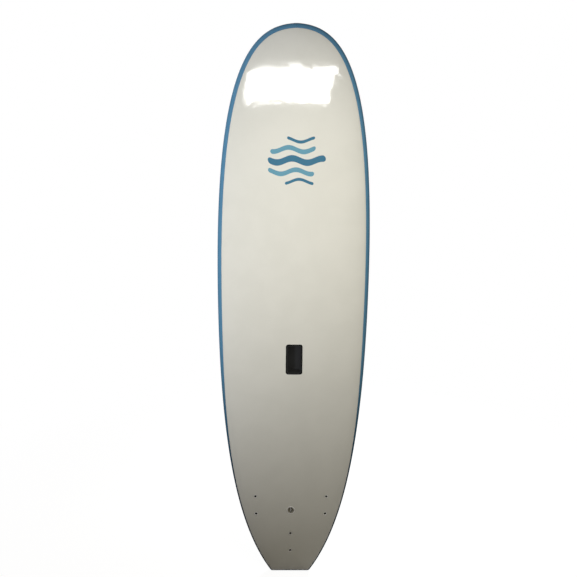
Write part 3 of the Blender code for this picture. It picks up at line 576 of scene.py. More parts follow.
def square_to(height, x, y, toe=0.0):
    """A frame on a surface, tipped along the length to stand square to it and turned by toe."""
    slope = math.atan2(height(x, y + PROBE) - height(x, y - PROBE), 2 * PROBE)
    turn = Matrix.Rotation(toe, 4, "Z") @ Matrix.Rotation(slope, 4, "X")
    return Matrix.Translation((x, y, height(x, y))) @ turn


def rise_to_deck(place):
    """From a point on a fin's base line straight up to the deck."""
    up = place.to_3x3() @ Vector((0, 0, 1))
    return (deck_tree.ray_cast(place.translation, up)[0] - place.translation).length


HANDLE_AT = (0.006, 0.9286)
LEASH_AT = (0.0, 0.285)
SIDE_FIN_X = 0.1416
SIDE_FIN_Y = 0.3003
CENTRE_FIN_Y = 0.1371
FIN_TOE = math.radians(2.1)
HANDLE = square_to(deck_height, *HANDLE_AT)
LEASH = square_to(deck_height, *LEASH_AT)
FIN_PLACES = {
    "left": square_to(bottom_height, -SIDE_FIN_X, SIDE_FIN_Y, FIN_TOE),
    "right": square_to(bottom_height, SIDE_FIN_X, SIDE_FIN_Y, -FIN_TOE),
    "centre": square_to(bottom_height, 0.0, CENTRE_FIN_Y),
}
print(f"the deck is {HANDLE.translation.z * 1000:.1f} mm up at the handle")

# %% [markdown]
# ## Turned shapes
#
# Screws, ferrules and the leash plug's cup are round, so half of their section is drawn as a few points
# and `spin` turns it about an axis. `use_merge` closes the last step onto the first. Most of the sections
# go in steps, so a helper takes only those: each pair means out to a radius, then along to a height.
# Sharp corners are bevelled after the turn, since every moulded or turned part has its edges broken a
# little.

# %% Turned helpers
SLIVER = 0.0001  # the play in heights and distances that are compared


def faced(made):
    """Turns the faces of a closed shape outward."""
    bmesh.ops.recalc_face_normals(made, faces=made.faces)
    return made


def turned(profile, count):
    """Spins (radius, height) points about z. The section is closed unless it starts on the axis."""
    made = bmesh.new()
    verts = [made.verts.new((radius, 0, height)) for radius, height in profile]
    edges = [made.edges.new(pair) for pair in zip(verts, verts[1:])]
    if profile[0][0] > 0:
        edges.append(made.edges.new((verts[-1], verts[0])))
    turn = {"axis": (0, 0, 1), "cent": (0, 0, 0), "angle": 2 * math.pi, "steps": count}
    bmesh.ops.spin(made, geom=verts + edges, use_merge=True, **turn)
    bmesh.ops.remove_doubles(made, verts=made.verts, dist=MERGE)
    return faced(made)


def stepped(start, *corners, count=64):
    """A turned shape from its steps. It ends at the radius at which it started."""
    profile = [start]
    for radius, height in corners:
        profile += [(radius, profile[-1][1]), (radius, height)]
    return turned(profile + [(start[0], profile[-1][1])], count)


def rod(radius, low, high, count=48):
    return stepped((0, low), (radius, high), count=count)


def break_edges(made, width, segments=2, angle=60, at=None):
    """Bevels the edges that turn by more than an angle, all of them or those at one height."""
    sharp = []
    for edge in made.edges:
        height = (edge.verts[0].co.z + edge.verts[1].co.z) / 2
        there = at is None or abs(height - at) < SLIVER
        if there and edge.is_manifold and edge.calc_face_angle() > math.radians(angle):
            sharp.append(edge)
    bevel(made, sharp, width, segments)
    return made


print("turned shapes ready")

# %% [markdown]
# ## Rounded boxes
#
# The handle's window, its tray and the fins' feet are rectangles with round corners. A grid of one cell
# gives the rectangle, and a vertex bevel rounds its corners. Rings of that kind, one above another, are
# joined with `bridge_loops`, which makes a moulded box with its draft: walls that lean a little, so that
# the part would leave its mould.

# %% Rounded helpers


def rounded_loop(made, half_x, half_y, radius, height, middle_x, segments):
    """A loop of edges round a rectangle with round corners."""
    verts = bmesh.ops.create_grid(made, x_segments=1, y_segments=1, size=1.0)["verts"]
    bmesh.ops.scale(made, verts=verts, vec=(half_x, half_y, 1))
    bmesh.ops.translate(made, verts=verts, vec=(middle_x, 0, height))
    rounding = bevel(made, verts, radius, segments, "VERTICES")
    loop = list({edge for vert in rounding["verts"] for edge in vert.link_edges})
    faces = list({face for edge in loop for face in edge.link_faces})
    bmesh.ops.delete(made, geom=faces, context="FACES_ONLY")
    return loop


def ring(shape, grow, height):
    """A rectangle for lofted, from (half x, half y, corner radius) grown on every side."""
    half_x, half_y, corner = shape
    return half_x + grow, half_y + grow, corner + max(grow, 0), height


def lofted(rings, middle_x=0.0, segments=8):
    """Rounded rectangles one above another, bridged and capped."""
    made = bmesh.new()
    loops = [rounded_loop(made, *item, middle_x, segments) for item in rings]
    for loop, following in zip(loops, loops[1:]):
        bmesh.ops.bridge_loops(made, edges=loop + following)
    bmesh.ops.contextual_create(made, geom=loops[0])
    bmesh.ops.contextual_create(made, geom=loops[-1])
    return faced(made)


print("rounded shapes ready")

# %% [markdown]
# ## Deck foam
#
# The deck is closed-cell foam, heat-sealed on top, so it has a skin that shines softly. The cream is
# hardly mottled, and close up it has fine greyish pores. What shows from further off is the surface: a
# slow waviness where the sheet has settled on the core, which breaks up the edges of a reflection, and
# under it the very fine emboss of the roller.
#
# Below the nose goes a plain design of our own, a stack of five waves in two blues. Each wave is a band
# round a sine line with rounded ends, worked out in the shader from the place on the board, so it needs
# no picture.

# %% Deck material
CREAM = (0.785, 0.768, 0.680)
CREAM_SHADE = (0.764, 0.748, 0.660)
PORE_GREY = (0.600, 0.585, 0.515)
PORE_SHARE = 0.22
EMBOSS = 0.000015
SETTLING = 0.00100
RIPPLE = 0.00040
CALM = 0.25  # the share of the waviness below the place where the sheet bends up to the nose
WAVE_BLUE = (0.028, 0.165, 0.270)
WAVE_PALE = (0.120, 0.330, 0.430)
WAVE_LENGTH = 0.108
WAVE_HEIGHT = 0.0075
WAVE_SHIFT = 20  # how far along its swell a band is shifted, in radians for each metre up
WAVE_SOFT = 0.0005
# Each band's middle height and middle x, half its length and half its thickness, and its colour
WAVES = (
    (1.752, 0.020, 0.044, 0.0055, WAVE_BLUE),
    (1.718, -0.008, 0.072, 0.0085, WAVE_PALE),
    (1.680, 0.006, 0.092, 0.0115, WAVE_BLUE),
    (1.640, -0.014, 0.074, 0.0085, WAVE_PALE),
    (1.606, 0.016, 0.046, 0.0055, WAVE_BLUE),
)

deck_foam = Finish("deck_foam", Roughness=0.11)
x, _, z = deck_foam.axes()
mottling = deck_foam.noise(9.0, detail=3.0).fade(0.35, 0.65)
surface = deck_foam.mix(mottling, CREAM_SHADE, CREAM)
pores = deck_foam.noise(1100.0).fade(0.55, 0.75)
surface = deck_foam.mix(pores * PORE_SHARE, surface, PORE_GREY)
for middle_z, middle_x, half_length, half_thick, blue in WAVES:
    past_end = (abs(x - middle_x) - half_length).at_least(0)
    swell = (x * (2 * math.pi / WAVE_LENGTH) + middle_z * WAVE_SHIFT).sine() * WAVE_HEIGHT
    off_line = past_end.across(z - middle_z - swell)
    printed = off_line.fade(half_thick + WAVE_SOFT, half_thick - WAVE_SOFT)
    surface = deck_foam.mix(printed, surface, blue)
deck_foam.set(Base_Color=surface)
waviness = z.fade(1.5, 1.85) * (1 - CALM) + CALM
deck_foam.bumps(
    (700.0, EMBOSS),
    (deck_foam.noise(24.0, detail=1.0) * waviness, SETTLING),
    (deck_foam.noise(60.0) * waviness, RIPPLE),
)
print(f"{len(WAVES)} waves on the deck foam")

# %% [markdown]
# ## The deck sheet
#
# The sheet is 5 mm thick and carries three kinds of hole: the rounded window of the handle, the leash
# plug's, and six for the fin screws. Each is cut with a Boolean by a shape a hair larger than the fitting
# that fills it, because a real fitting is pressed into a hole that was cut for it.

# %% Deck
WINDOW = (0.03175, 0.0605, 0.009)  # half its width and length, and the radius of its corners
CUP_FLANGE_RADIUS = 0.0170
FERRULE_FLANGE_RADIUS = 0.0075
SCREW_SPACING = 0.077
DECK_WALL = 0.005
SEAM_ROUND = 0.0008
REACH = 0.012  # how far a cutter goes past the sheet
SCREW_PLACES = {
    "front": Matrix.Translation((0, SCREW_SPACING / 2, 0)),
    "rear": Matrix.Translation((0, -SCREW_SPACING / 2, 0)),
}


def fin_screws():
    """Each screw's name and the frame that it stands in, on its fin's base line."""
    for side, fin_place in FIN_PLACES.items():
        for end, screw_place in SCREW_PLACES.items():
            yield f"{side}_{end}", fin_place @ screw_place


def screw_holes(radius, level):
    """A cutter for each fin screw, where level says how far up the screw's own place the sheet is."""
    for _, place in fin_screws():
        yield placed(rod(radius, level(place) - REACH, level(place) + REACH), place)


skin = walled(laid_over(ALONG, DECK_LINES, on_deck), (0, 0, 1), DECK_WALL, SEAM_ROUND)
holes = [
    placed(lofted([ring(WINDOW, GAP, -REACH), ring(WINDOW, GAP, REACH)]), HANDLE),
    placed(rod(CUP_FLANGE_RADIUS + GAP, -REACH, REACH), LEASH),
    *screw_holes(FERRULE_FLANGE_RADIUS + GAP, rise_to_deck),
]
deck_sheet = combined(link("deck_sheet", skin), "DIFFERENCE", *holes)
keep(deck_sheet, deck_foam, "deck_skin")

# %% [markdown]
# ## Rail foam and the bottom sheet
#
# The rails are strips of blue foam, wrapped round the edge from one seam to the other and joined at the
# nose. A short strip closes the square tail. Their colour goes through the foam, with cells fine enough
# to see close up. Towards the tail a painted shade makes them darker and greyer, in place of the light
# that falls off down the standing board. The bottom is a sheet of hard slick plastic, so its shine is
# tighter and the long lines of its rolling just show.

# %% Rail and bottom materials
RAIL_BLUE = (0.118, 0.290, 0.445)
RAIL_DEEP = (0.094, 0.240, 0.380)
# painted shade: the rails darken to this blue towards the tail, where less light reaches them
TAIL_PAINTED_SHADE = (0.020, 0.032, 0.048)
PAINTED_SHADE_SHARE = 0.9
SLICK_BLUE = (0.052, 0.200, 0.320)
FOAM_CELLS = 0.00004
SLOW_WAVES = 0.0002
ROLLING = 0.00003

rail_foam = Finish("rail_foam", Roughness=0.70, Specular_IOR_Level=0.04)
blue = rail_foam.mix(rail_foam.noise(40.0, detail=4.0), RAIL_DEEP, RAIL_BLUE)
# painted shade, growing towards the tail
painted_tail_shade = rail_foam.axes()[2].fade(1.0, 0.3) * PAINTED_SHADE_SHARE
rail_foam.set(Base_Color=rail_foam.mix(painted_tail_shade, blue, TAIL_PAINTED_SHADE))
rail_foam.bumps((rail_foam.cells(900.0), FOAM_CELLS), (35.0, SLOW_WAVES))

slick = Finish("slick", Base_Color=SLICK_BLUE, Roughness=0.20, Coat_Weight=0.15)
rolled = slick.noise(1.0, stretch=(240.0, 240.0, 5.0))
slick.bumps((rolled, ROLLING), (slick.noise(18.0, detail=1.0), SLOW_WAVES))
print("rail foam and slick ready")

# %% Rails and tail strip
RAIL_WALL = 0.005
RAIL_JOINT = 0.75  # along the tail's edge, where the rails end and the tail strip begins
JOINT_GAP = GAP / 2 / outline(1).x
TIP_GAP = GAP / 2 / -bezier_slope(NOSE_CURVE, 1).x
RAIL_LINES = steps(0, (1, 6), (2, 4), (3, 14))


def on_rail(u, line):
    """line runs down the deck's curve to 1, down the flat of the rail to 2 and under it to 3."""
    cut = slice_at(abs(u))
    if line <= 1:
        point = bezier(cut.deck, cut.past(cut.deck, cut.deck_seam, -1) * (1 - line))
    elif line <= 2:
        point = cut.deck[0].lerp(cut.bottom[0], line - 1)
    else:
        point = bezier(cut.bottom, cut.past(cut.bottom, cut.bottom_seam, -1) * (line - 2))
    return cut.point(point, u)


def rail_piece(name, values, outward, node):
    strip = walled(laid_over(values, RAIL_LINES, on_rail), outward, RAIL_WALL, SEAM_ROUND / 2)
    keep(link(name, strip), rail_foam, node)


between = [u for u in ALONG if RAIL_JOINT < u < NOSE_TIP]
rail_values = [RAIL_JOINT + JOINT_GAP, *between, NOSE_TIP - TIP_GAP]
rail_piece("rail_band_right", rail_values, (1, 0, 0), "rail_right")
rail_piece("rail_band_left", [-u for u in rail_values], (-1, 0, 0), "rail_left")
strip_end = RAIL_JOINT - JOINT_GAP
rail_piece("tail_strip", steps(-strip_end, (strip_end, 24)), (0, -1, 0), "tail_band")

# %% Bottom sheet
FLAT_SHARE = 0.7  # of the sheet's lines, and the tuck has the rest
BOTTOM_LINES = steps(-1, (-FLAT_SHARE, 12), (FLAT_SHARE, 30), (1, 12))
BOTTOM_WALL = 0.003
SCREW_BORE = 0.0028
STEM_RADIUS = 0.0065
BASE_RADIUS = 0.014
BASE_SUNK = 0.001


def on_bottom(u, across):
    cut = slice_at(u)
    if abs(across) > FLAT_SHARE:
        start = cut.past(cut.bottom, cut.bottom_seam, 1)
        point = bezier(cut.bottom, start + (1 - start) * (1 - abs(across)) / (1 - FLAT_SHARE))
    else:
        point = Vector((cut.reach + (cut.tuck - cut.reach) * abs(across) / FLAT_SHARE, 0))
    return cut.point(point, across)


def past_bottom(distance):
    """How far below the bottom a point is that lies so far down the leash plug's axis."""
    point = LEASH @ Vector((0, 0, -distance))
    return rocker(point.y) - point.z


BOTTOM_AT = -solve(past_bottom, 0.0, high=2 * THICKNESS)  # the bottom, as a height on the plug's axis
skin = walled(laid_over(ALONG, BOTTOM_LINES, on_bottom), (0, 0, -1), BOTTOM_WALL, SEAM_ROUND / 2)
stem_hole = stepped(
    (0, BOTTOM_AT + REACH),
    (STEM_RADIUS + GAP, BOTTOM_AT + BASE_SUNK),
    (BASE_RADIUS + GAP, BOTTOM_AT - REACH),
)
holes = [placed(stem_hole, LEASH), *screw_holes(SCREW_BORE, lambda place: 0)]
keep(combined(link("bottom_sheet", skin), "DIFFERENCE", *holes), slick, "bottom_skin")

# %% [markdown]
# ## The carry handle
#
# The handle is a moulded tray let into the deck: a flanged rim, a well with drafted walls, and on one side
# an undercut for the fingers. The flange is matt black and the well inside it is charcoal. The charcoal
# reaches a little past the well's edge as a painted highlight along the rim's inner edge. The well's wall
# above the undercut carries a soft ribbed strip.
#
# The tray is lofted from rounded rectangles, its rims are bevelled while the shape is still simple, and
# only then do Booleans join the finger box and hollow both. The strip is one section that `spin` pulls
# along with no turn, and a wave in its points makes the ribs. One material serves both blacks: in the
# shader, the distance from a smaller rectangle makes a mask with round corners, just as a bevel would.

# %% Handle materials
BLACK = (0.0058, 0.0060, 0.0058)
CHARCOAL = (0.035, 0.036, 0.036)
GRIP_BLACK = (0.020, 0.020, 0.021)
WELL = (0.02525, 0.054, 0.006)  # half its width and length, and the radius of its corners
# painted highlight: the charcoal shows as a band this wide round the well, for light on the rim's inner
# edge
RIM_HIGHLIGHT_LINE = 0.0016  # how far the charcoal of the tray shows round the well
MASK_SOFT = 0.0003
FINE_GRAIN = 0.00002

black_plastic = Finish("black_plastic", Roughness=0.48, Specular_IOR_Level=0.08)
x, _, z = black_plastic.axes()
middle = STAND @ HANDLE.translation
beside = (abs(x - middle.x) - (WELL[0] - WELL[2])).at_least(0)
beyond = (abs(z - middle.z) - (WELL[1] - WELL[2])).at_least(0)
line = WELL[2] + RIM_HIGHLIGHT_LINE
# charcoal in the well, and round it a band that is a painted highlight
charcoal_and_rim_highlight = beside.across(beyond).fade(line + MASK_SOFT, line - MASK_SOFT)
black_plastic.set(Base_Color=black_plastic.mix(charcoal_and_rim_highlight, BLACK, CHARCOAL))
black_plastic.bumps((1800.0, FINE_GRAIN))

grip_rubber = Finish("grip_rubber", Base_Color=GRIP_BLACK, Roughness=0.75, Specular_IOR_Level=0.1)
grip_rubber.bumps((2500.0, FINE_GRAIN))
print("black plastic and grip rubber ready")

# %% Handle tray
TRAY_WALL = 0.0022
TRAY_DRAFT = 0.0015
TRAY_PROUD = 0.001
TRAY_UNDER = -0.002
TRAY_FLOOR = -0.036
RIM_ROUND = 0.0009
FLOOR_ROUND = 0.002
FINGER_EDGE = 0.04225
FINGER_HALF = 0.0425
FINGER_ROOF = -0.013
FALL = 0.00002  # two loops in one plane would be bridged with a twist, so one sits a hair lower


def finger_box(grow, low, high):
    half = (FINGER_EDGE + grow) / 2
    shape = (half, FINGER_HALF + grow, WELL[2] + grow)
    return lofted([ring(shape, 0, low), ring(shape, 0, high)], middle_x=-half)


tray = lofted([
    ring(WELL, -TRAY_DRAFT, TRAY_FLOOR),
    ring(WELL, 0, TRAY_PROUD - FALL),
    ring(WINDOW, 0, TRAY_PROUD),
    ring(WINDOW, 0, TRAY_UNDER),
    ring(WELL, TRAY_WALL, TRAY_UNDER - FALL),
    ring(WELL, TRAY_WALL - TRAY_DRAFT, TRAY_FLOOR - TRAY_WALL),
])
break_edges(tray, RIM_ROUND, 4, angle=40, at=TRAY_PROUD)
break_edges(tray, FLOOR_ROUND, 4, angle=40, at=TRAY_FLOOR)
shell = finger_box(TRAY_WALL, TRAY_FLOOR, FINGER_ROOF + TRAY_WALL)
undercut = finger_box(0, TRAY_FLOOR + TRAY_WALL, FINGER_ROOF)
well = lofted([
    ring(WELL, -TRAY_DRAFT - SLIVER, TRAY_FLOOR + FLOOR_ROUND),
    ring(WELL, -SLIVER, TRAY_PROUD - RIM_ROUND),
])
handle = combined(link("handle_shell", tray), "UNION", shell)
keep(combined(handle, "DIFFERENCE", well, undercut), black_plastic, "handle_tray", HANDLE)

# %% Handle grip
GRIP_THICK = 0.0035
GRIP_TOP = TRAY_PROUD - RIM_ROUND - 0.0014
GRIP_LOW = FINGER_ROOF + 0.0031
GRIP_HALF = FINGER_HALF + 0.0035
GRIP_ROUND = 0.0012
RIB_EVERY = 0.004
RIB_DEPTH = 0.0005
ROWS = round(2 * GRIP_HALF / RIB_EVERY) * 4


def well_wall(height):
    """Where the well's leaning wall is at a height, with a gap for the glue."""
    return GAP - WELL[0] + TRAY_DRAFT * (TRAY_PROUD - height) / (TRAY_PROUD - TRAY_FLOOR)


back = well_wall(GRIP_TOP)
front = back + GRIP_THICK
corners = ((back, GRIP_TOP), (front, GRIP_TOP), (front, GRIP_LOW), (well_wall(GRIP_LOW), GRIP_LOW))
grip = bmesh.new()
section = grip.faces.new([grip.verts.new((x, -GRIP_HALF, z)) for x, z in corners])
soft_corners = [vert for vert in section.verts if abs(vert.co.x - front) < SLIVER]
bevel(grip, soft_corners, GRIP_ROUND, 5, "VERTICES")
pull = {"axis": (0, 1, 0), "cent": (0, 0, 0), "dvec": (0, 2 * GRIP_HALF / ROWS, 0), "angle": 0.0}
bmesh.ops.spin(grip, geom=grip.faces[:] + grip.edges[:], steps=ROWS, **pull)
for vert in grip.verts:
    if vert.co.x > front - GRIP_THICK / 2:
        vert.co.x -= RIB_DEPTH * (0.5 - 0.5 * math.cos(2 * math.pi * vert.co.y / RIB_EVERY))
keep(link("grip_strip", faced(grip)), grip_rubber, "handle_grip", HANDLE)

# %% [markdown]
# ## The leash plug
#
# The leash plug is a cup with a steel bar across its mouth. Its flange is nearly white, and its inside is
# painted a smoky grey, a painted shade for the deep hollow. A screw in its floor pulls it down onto a stem
# that comes through the board from a disc in the bottom, so the load is carried by both skins. All of it
# is turned from half sections.
#
# The ferrules of the fin screws are of the same white plastic. A little way down the bore they turn dull
# grey, a painted shade for the deep hole. An attribute on the mesh is 1 round the bore's foot and 0 at its
# mouth, Blender blends it along the wall, and the material reads it. The screws are a very dark steel, a
# painted shade for heads that sit deep in the ferrules and the cup, while the bar and the washers are
# plain stainless.

# %% Plug and metal materials
MOULDED_WHITE = (0.97, 0.96, 0.93)
# painted shade for the inside of the leash cup
CUP_PAINTED_SHADE = (0.520, 0.500, 0.420)
# painted shade for the deep part of each ferrule's bore
BORE_PAINTED_SHADE = (0.12, 0.115, 0.10)
MOULD_GRAIN = 0.00001
MOUTH_RADIUS = 0.0127
FLANGE_EDGE = MOUTH_RADIUS + 0.0005  # where the cup's painted shade inside gives way to its pale flange

pale_plastic = Finish("pale_plastic", Roughness=0.40, Specular_IOR_Level=0.4)
depth = pale_plastic.add("ShaderNodeAttribute", {"attribute_name": "bore_depth"}, output="Fac")
# painted shade: the bore turns grey a little way below its mouth
pale_plastic.set(Base_Color=pale_plastic.mix(depth.fade(0.02, 0.25), MOULDED_WHITE, BORE_PAINTED_SHADE))
pale_plastic.bumps((1500.0, MOULD_GRAIN))

cup_plastic = Finish("cup_plastic", "pale_plastic", Roughness=0.40, Specular_IOR_Level=0.3)
x, _, z = cup_plastic.axes()
flange = x.across(z - (STAND @ LEASH.translation).z).fade(FLANGE_EDGE, FLANGE_EDGE + MASK_SOFT)
# painted shade: the cup is grey inside and white on its flange
cup_plastic.set(Base_Color=cup_plastic.mix(flange, CUP_PAINTED_SHADE, MOULDED_WHITE))
cup_plastic.bumps((1500.0, MOULD_GRAIN))


def bare_metal(name, slot, shade, roughness, spread=0.15):
    """A metal whose polish is a little uneven."""
    metal = Finish(name, slot, Base_Color=shade, Metallic=1.0)
    metal.set(Roughness=metal.noise(300.0, detail=3.0) * spread + roughness)
    return metal


stainless = bare_metal("stainless", "stainless", (0.22, 0.215, 0.205), 0.36)
# painted shade: stainless screws coloured almost black, for the shade in their deep recesses
painted_shade_steel = bare_metal("painted_shade_steel", "stainless", (0.018, 0.018, 0.017), 0.36)
brass = bare_metal("brass", "brass_insert", (0.60, 0.44, 0.18), 0.28)
print("plastics and metals ready")

# %% Leash plug cup, bar and base
CUP_RADIUS = 0.0152
CUP_TOP = 0.0008
CUP_UNDER = -0.0017
CUP_FLOOR = -0.0182
CUP_BASE = -0.0207
CUP_ROUND = 0.0006
BAR_RADIUS = 0.0024
BAR_HALF = 0.0141
BAR_ROUND = 0.0004
ACROSS_CUP = Matrix.Translation((0, 0, -0.0052)) @ Matrix.Rotation(math.pi / 2, 4, "X")
DISC_TOP = BOTTOM_AT + BASE_SUNK - GAP
DISC_LOW = DISC_TOP - 0.0022
DISC_ROUND = 0.001
BORE_END = DISC_LOW + 0.0011
STEM_TOP = CUP_BASE - 0.004

cup = stepped(
    (SCREW_BORE, CUP_FLOOR),
    (MOUTH_RADIUS, CUP_TOP),
    (CUP_FLANGE_RADIUS, CUP_UNDER),
    (CUP_RADIUS, CUP_BASE),
)
break_edges(cup, CUP_ROUND, 3, at=CUP_TOP)
break_edges(cup, CUP_ROUND, at=CUP_FLOOR)
seat = moved(rod(BAR_RADIUS + GAP, -BAR_HALF, BAR_HALF, 32), ACROSS_CUP)
keep(combined(link("plug_cup", cup), "DIFFERENCE", seat), cup_plastic, "leash_plug_cup", LEASH)

bar = break_edges(rod(BAR_RADIUS, -BAR_HALF + GAP, BAR_HALF - GAP, 32), BAR_ROUND)
keep(link("plug_bar", bar), stainless, "leash_plug_bar", LEASH @ ACROSS_CUP)

base = stepped((0, BORE_END), (SCREW_BORE, STEM_TOP), (STEM_RADIUS, DISC_TOP), (BASE_RADIUS, DISC_LOW))
break_edges(base, DISC_ROUND, 4, at=DISC_LOW)
keep(link("plug_base", base), black_plastic, "leash_plug_base", LEASH)

# %% [markdown]
# ## Screws, washers and ferrules
#
# Each fin hangs on two long machine screws that come through the board from the deck. A plastic ferrule
# lines the hole and keeps the foam from being crushed, and a brass insert in the fin's foot takes the
# thread.
#
# The thread could be cut with a Screw modifier, but then its run-out at head and point needs patching. It
# is simpler to turn a shank with many rings and to press a helix into it: every point's radius follows
# its height and its angle together.

# %% Screws
SCREW_RADIUS = 0.0025
HEAD_RADIUS = 0.0042
HEAD_HEIGHT = 0.0026
HEAD_DOME = 0.0014
HEAD_ROUND = 0.0002
PITCH = 0.0008
THREAD_DEPTH = 0.00035
RINGS_PER_TURN = 6
SHANK_SIDES = 20
POINT_LENGTH = 0.0008
POINT_TAPER = 0.0006
RECESS = (0.0044, 0.0010, 0.0036)
RECESS_DRAFT = (0.55, 0.7, 1)
PLUG_SCREW_LENGTH = 0.032
PLUG_SCREW_TURN = 0.6


def shank_shape(seat, tip):
    """A threaded shank from the head's underside at seat down to the tip."""
    rings = round((seat - tip) / PITCH * RINGS_PER_TURN)
    heights = steps(tip, (seat, rings)) + [seat + HEAD_HEIGHT / 4]
    profile = [(0, tip)] + [(SCREW_RADIUS, height) for height in heights] + [(0, heights[-1])]
    made = turned(profile, SHANK_SIDES)
    for vert in made.verts:
        flat = Vector((vert.co.x, vert.co.y))
        if flat.length < SCREW_RADIUS / 2:
            continue
        turns = (vert.co.z - tip) / PITCH - math.atan2(flat.y, flat.x) / (2 * math.pi)
        groove = 1 - abs(2 * (turns % 1) - 1)
        cut = THREAD_DEPTH * groove * part_way(vert.co.z, seat, seat - PITCH)
        taper = POINT_TAPER * part_way(vert.co.z, tip + POINT_LENGTH, tip)
        vert.co.x, vert.co.y = flat.normalized() * (SCREW_RADIUS - cut - taper)
    return made


def head_shape(seat):
    head = rod(HEAD_RADIUS, seat, seat + HEAD_HEIGHT, 40)
    break_edges(head, HEAD_DOME, 5, at=seat + HEAD_HEIGHT)
    return break_edges(head, HEAD_ROUND, at=seat)


def recess_shape(top, turn):
    """One slot of the cross, narrower at its floor."""
    made = bmesh.new()
    bmesh.ops.create_cube(made, size=1.0)
    bmesh.ops.scale(made, verts=made.verts, vec=RECESS)
    bmesh.ops.scale(made, verts=[vert for vert in made.verts if vert.co.z < 0], vec=RECESS_DRAFT)
    return moved(made, Matrix.Translation((0, 0, top)) @ Matrix.Rotation(turn, 4, "Z"))


def make_screw(name, place, seat, tip, turn, node):
    slots = [recess_shape(seat + HEAD_HEIGHT, turn + quarter * math.pi / 2) for quarter in (0, 1)]
    screw = combined(link(name, shank_shape(seat, tip)), "UNION", head_shape(seat))
    # the screws take the near-black steel, a painted shade
    keep(combined(screw, "DIFFERENCE", *slots), painted_shade_steel, node, place)


plug_seat = CUP_FLOOR + GAP
plug_tip = plug_seat - PLUG_SCREW_LENGTH
make_screw("plug_screw", LEASH, plug_seat, plug_tip, PLUG_SCREW_TURN, "leash_plug_screw")

# %% Ferrules, washers, screws and inserts
FERRULE_RADIUS = 0.0060
FERRULE_BORE = 0.0047
FERRULE_LOW = BOTTOM_WALL + 0.0008
FERRULE_SINK = 0.0005
FERRULE_FLANGE = 0.0016
FERRULE_ROUND = 0.0005
SCREW_SINK = 0.0055
WASHER_RADIUS = HEAD_RADIUS + 0.0002
WASHER_THICK = 0.0009
WASHER_ROUND = 0.00015
INSERT_RADIUS = 0.0038
INSERT_TOP = -0.0006
INSERT_END = INSERT_TOP - 0.0125
INSERT_ROUND = 0.0003
TURN_EACH = 0.9  # no two screws in a row stop with their slots at one angle


def tube(inner, outer, low, high, rim):
    return break_edges(stepped((inner, low), (outer, high), count=40), rim)


def make_fixing(label, place, turn):
    deck = rise_to_deck(place)
    top = deck - FERRULE_SINK
    seat = deck - SCREW_SINK - HEAD_HEIGHT
    washer_low = seat - GAP - WASHER_THICK
    ferrule = stepped(
        (SCREW_BORE, washer_low - GAP),
        (FERRULE_BORE, top),
        (FERRULE_FLANGE_RADIUS, top - FERRULE_FLANGE),
        (FERRULE_RADIUS, FERRULE_LOW),
        count=48,
    )
    break_edges(ferrule, FERRULE_ROUND, 3, at=top)
    # the bore's foot is marked for the painted shade
    depth = ferrule.verts.layers.float.new("bore_depth")
    for vert in ferrule.verts:
        if math.hypot(vert.co.x, vert.co.y) < FERRULE_BORE + SLIVER and vert.co.z < washer_low:
            vert[depth] = 1.0
    washer = tube(SCREW_BORE, WASHER_RADIUS, washer_low, washer_low + WASHER_THICK, WASHER_ROUND)
    nut = tube(SCREW_BORE, INSERT_RADIUS, INSERT_END, INSERT_TOP, INSERT_ROUND)
    keep(link(f"sleeve_{label}", ferrule), pale_plastic, f"ferrule_{label}", place)
    keep(link(f"flat_washer_{label}", washer), stainless, f"washer_{label}", place)
    make_screw(f"bolt_{label}", place, seat, INSERT_END + POINT_LENGTH, turn, f"screw_{label}")
    keep(link(f"threaded_insert_{label}", nut), brass, f"insert_{label}", place)


for index, (label, place) in enumerate(fin_screws()):
    make_fixing(label, place, index * TURN_EACH)

# %% [markdown]
# ## The fins
#
# A fin is a small wing. Its front and back edges are two curves that meet at the raked tip, and every
# slice across it is a foil, thickest a third of the way back. The side fins are flatter on their inner
# faces. A flat grid is wrapped round the foil, row by row down to the tip, and it swells a little at the
# root to run into the foot.
#
# The blade could also be a flat plate with bevelled edges, as cheap toys have, but then light would break
# along the bevel instead of rolling over the face.

# %% Fin material and blade
FIN_BLACK = (0.019, 0.020, 0.023)
FIN_WAVES = 0.0001
FIN_DEPTH = 0.112
FIN_RAKE = 0.066
FIN_BASE = 0.112
FIN_LOW = FIN_DEPTH - 0.0013
FIN_TIP = (-FIN_RAKE, FIN_DEPTH)
FIN_LEAD = curve(
    (FIN_BASE / 2, 0), (FIN_BASE * 0.26, FIN_DEPTH * 0.52), (-FIN_RAKE * 0.32, FIN_DEPTH), FIN_TIP
)
FIN_TRAIL = curve(
    (-FIN_BASE / 2, 0), (-FIN_BASE * 0.28, FIN_DEPTH * 0.42), (-FIN_RAKE * 1.42, FIN_DEPTH * 0.93), FIN_TIP
)
ROOT_HALF = 0.0044
TIP_HALF = 0.0018
TIP_ROUND = 0.006
ROOT_FILLET = 0.004
ROOT_SWELL = 0.0016
FOOT_THICK = 0.0035
BLUNT = 0.0005  # how far behind the foil's end the blade closes
BLADE_ROWS = 44
BLADE_COLUMNS = 56
CLOSING = 1.05  # the column past the back edge, where the two faces meet
WING = (-1.100, -3.516, 2.843, -1.015)  # the usual wing section, a little blunter at its back

fin_rubber = Finish("fin_rubber", Base_Color=FIN_BLACK, Roughness=0.45)
fin_rubber.bumps((1600.0, FINE_GRAIN), (60.0, FIN_WAVES))


def foil_share(along):
    """Half thickness along the chord, as a share of its greatest."""
    return 2.969 * math.sqrt(along) + sum(term * along**power for power, term in enumerate(WING, 1))


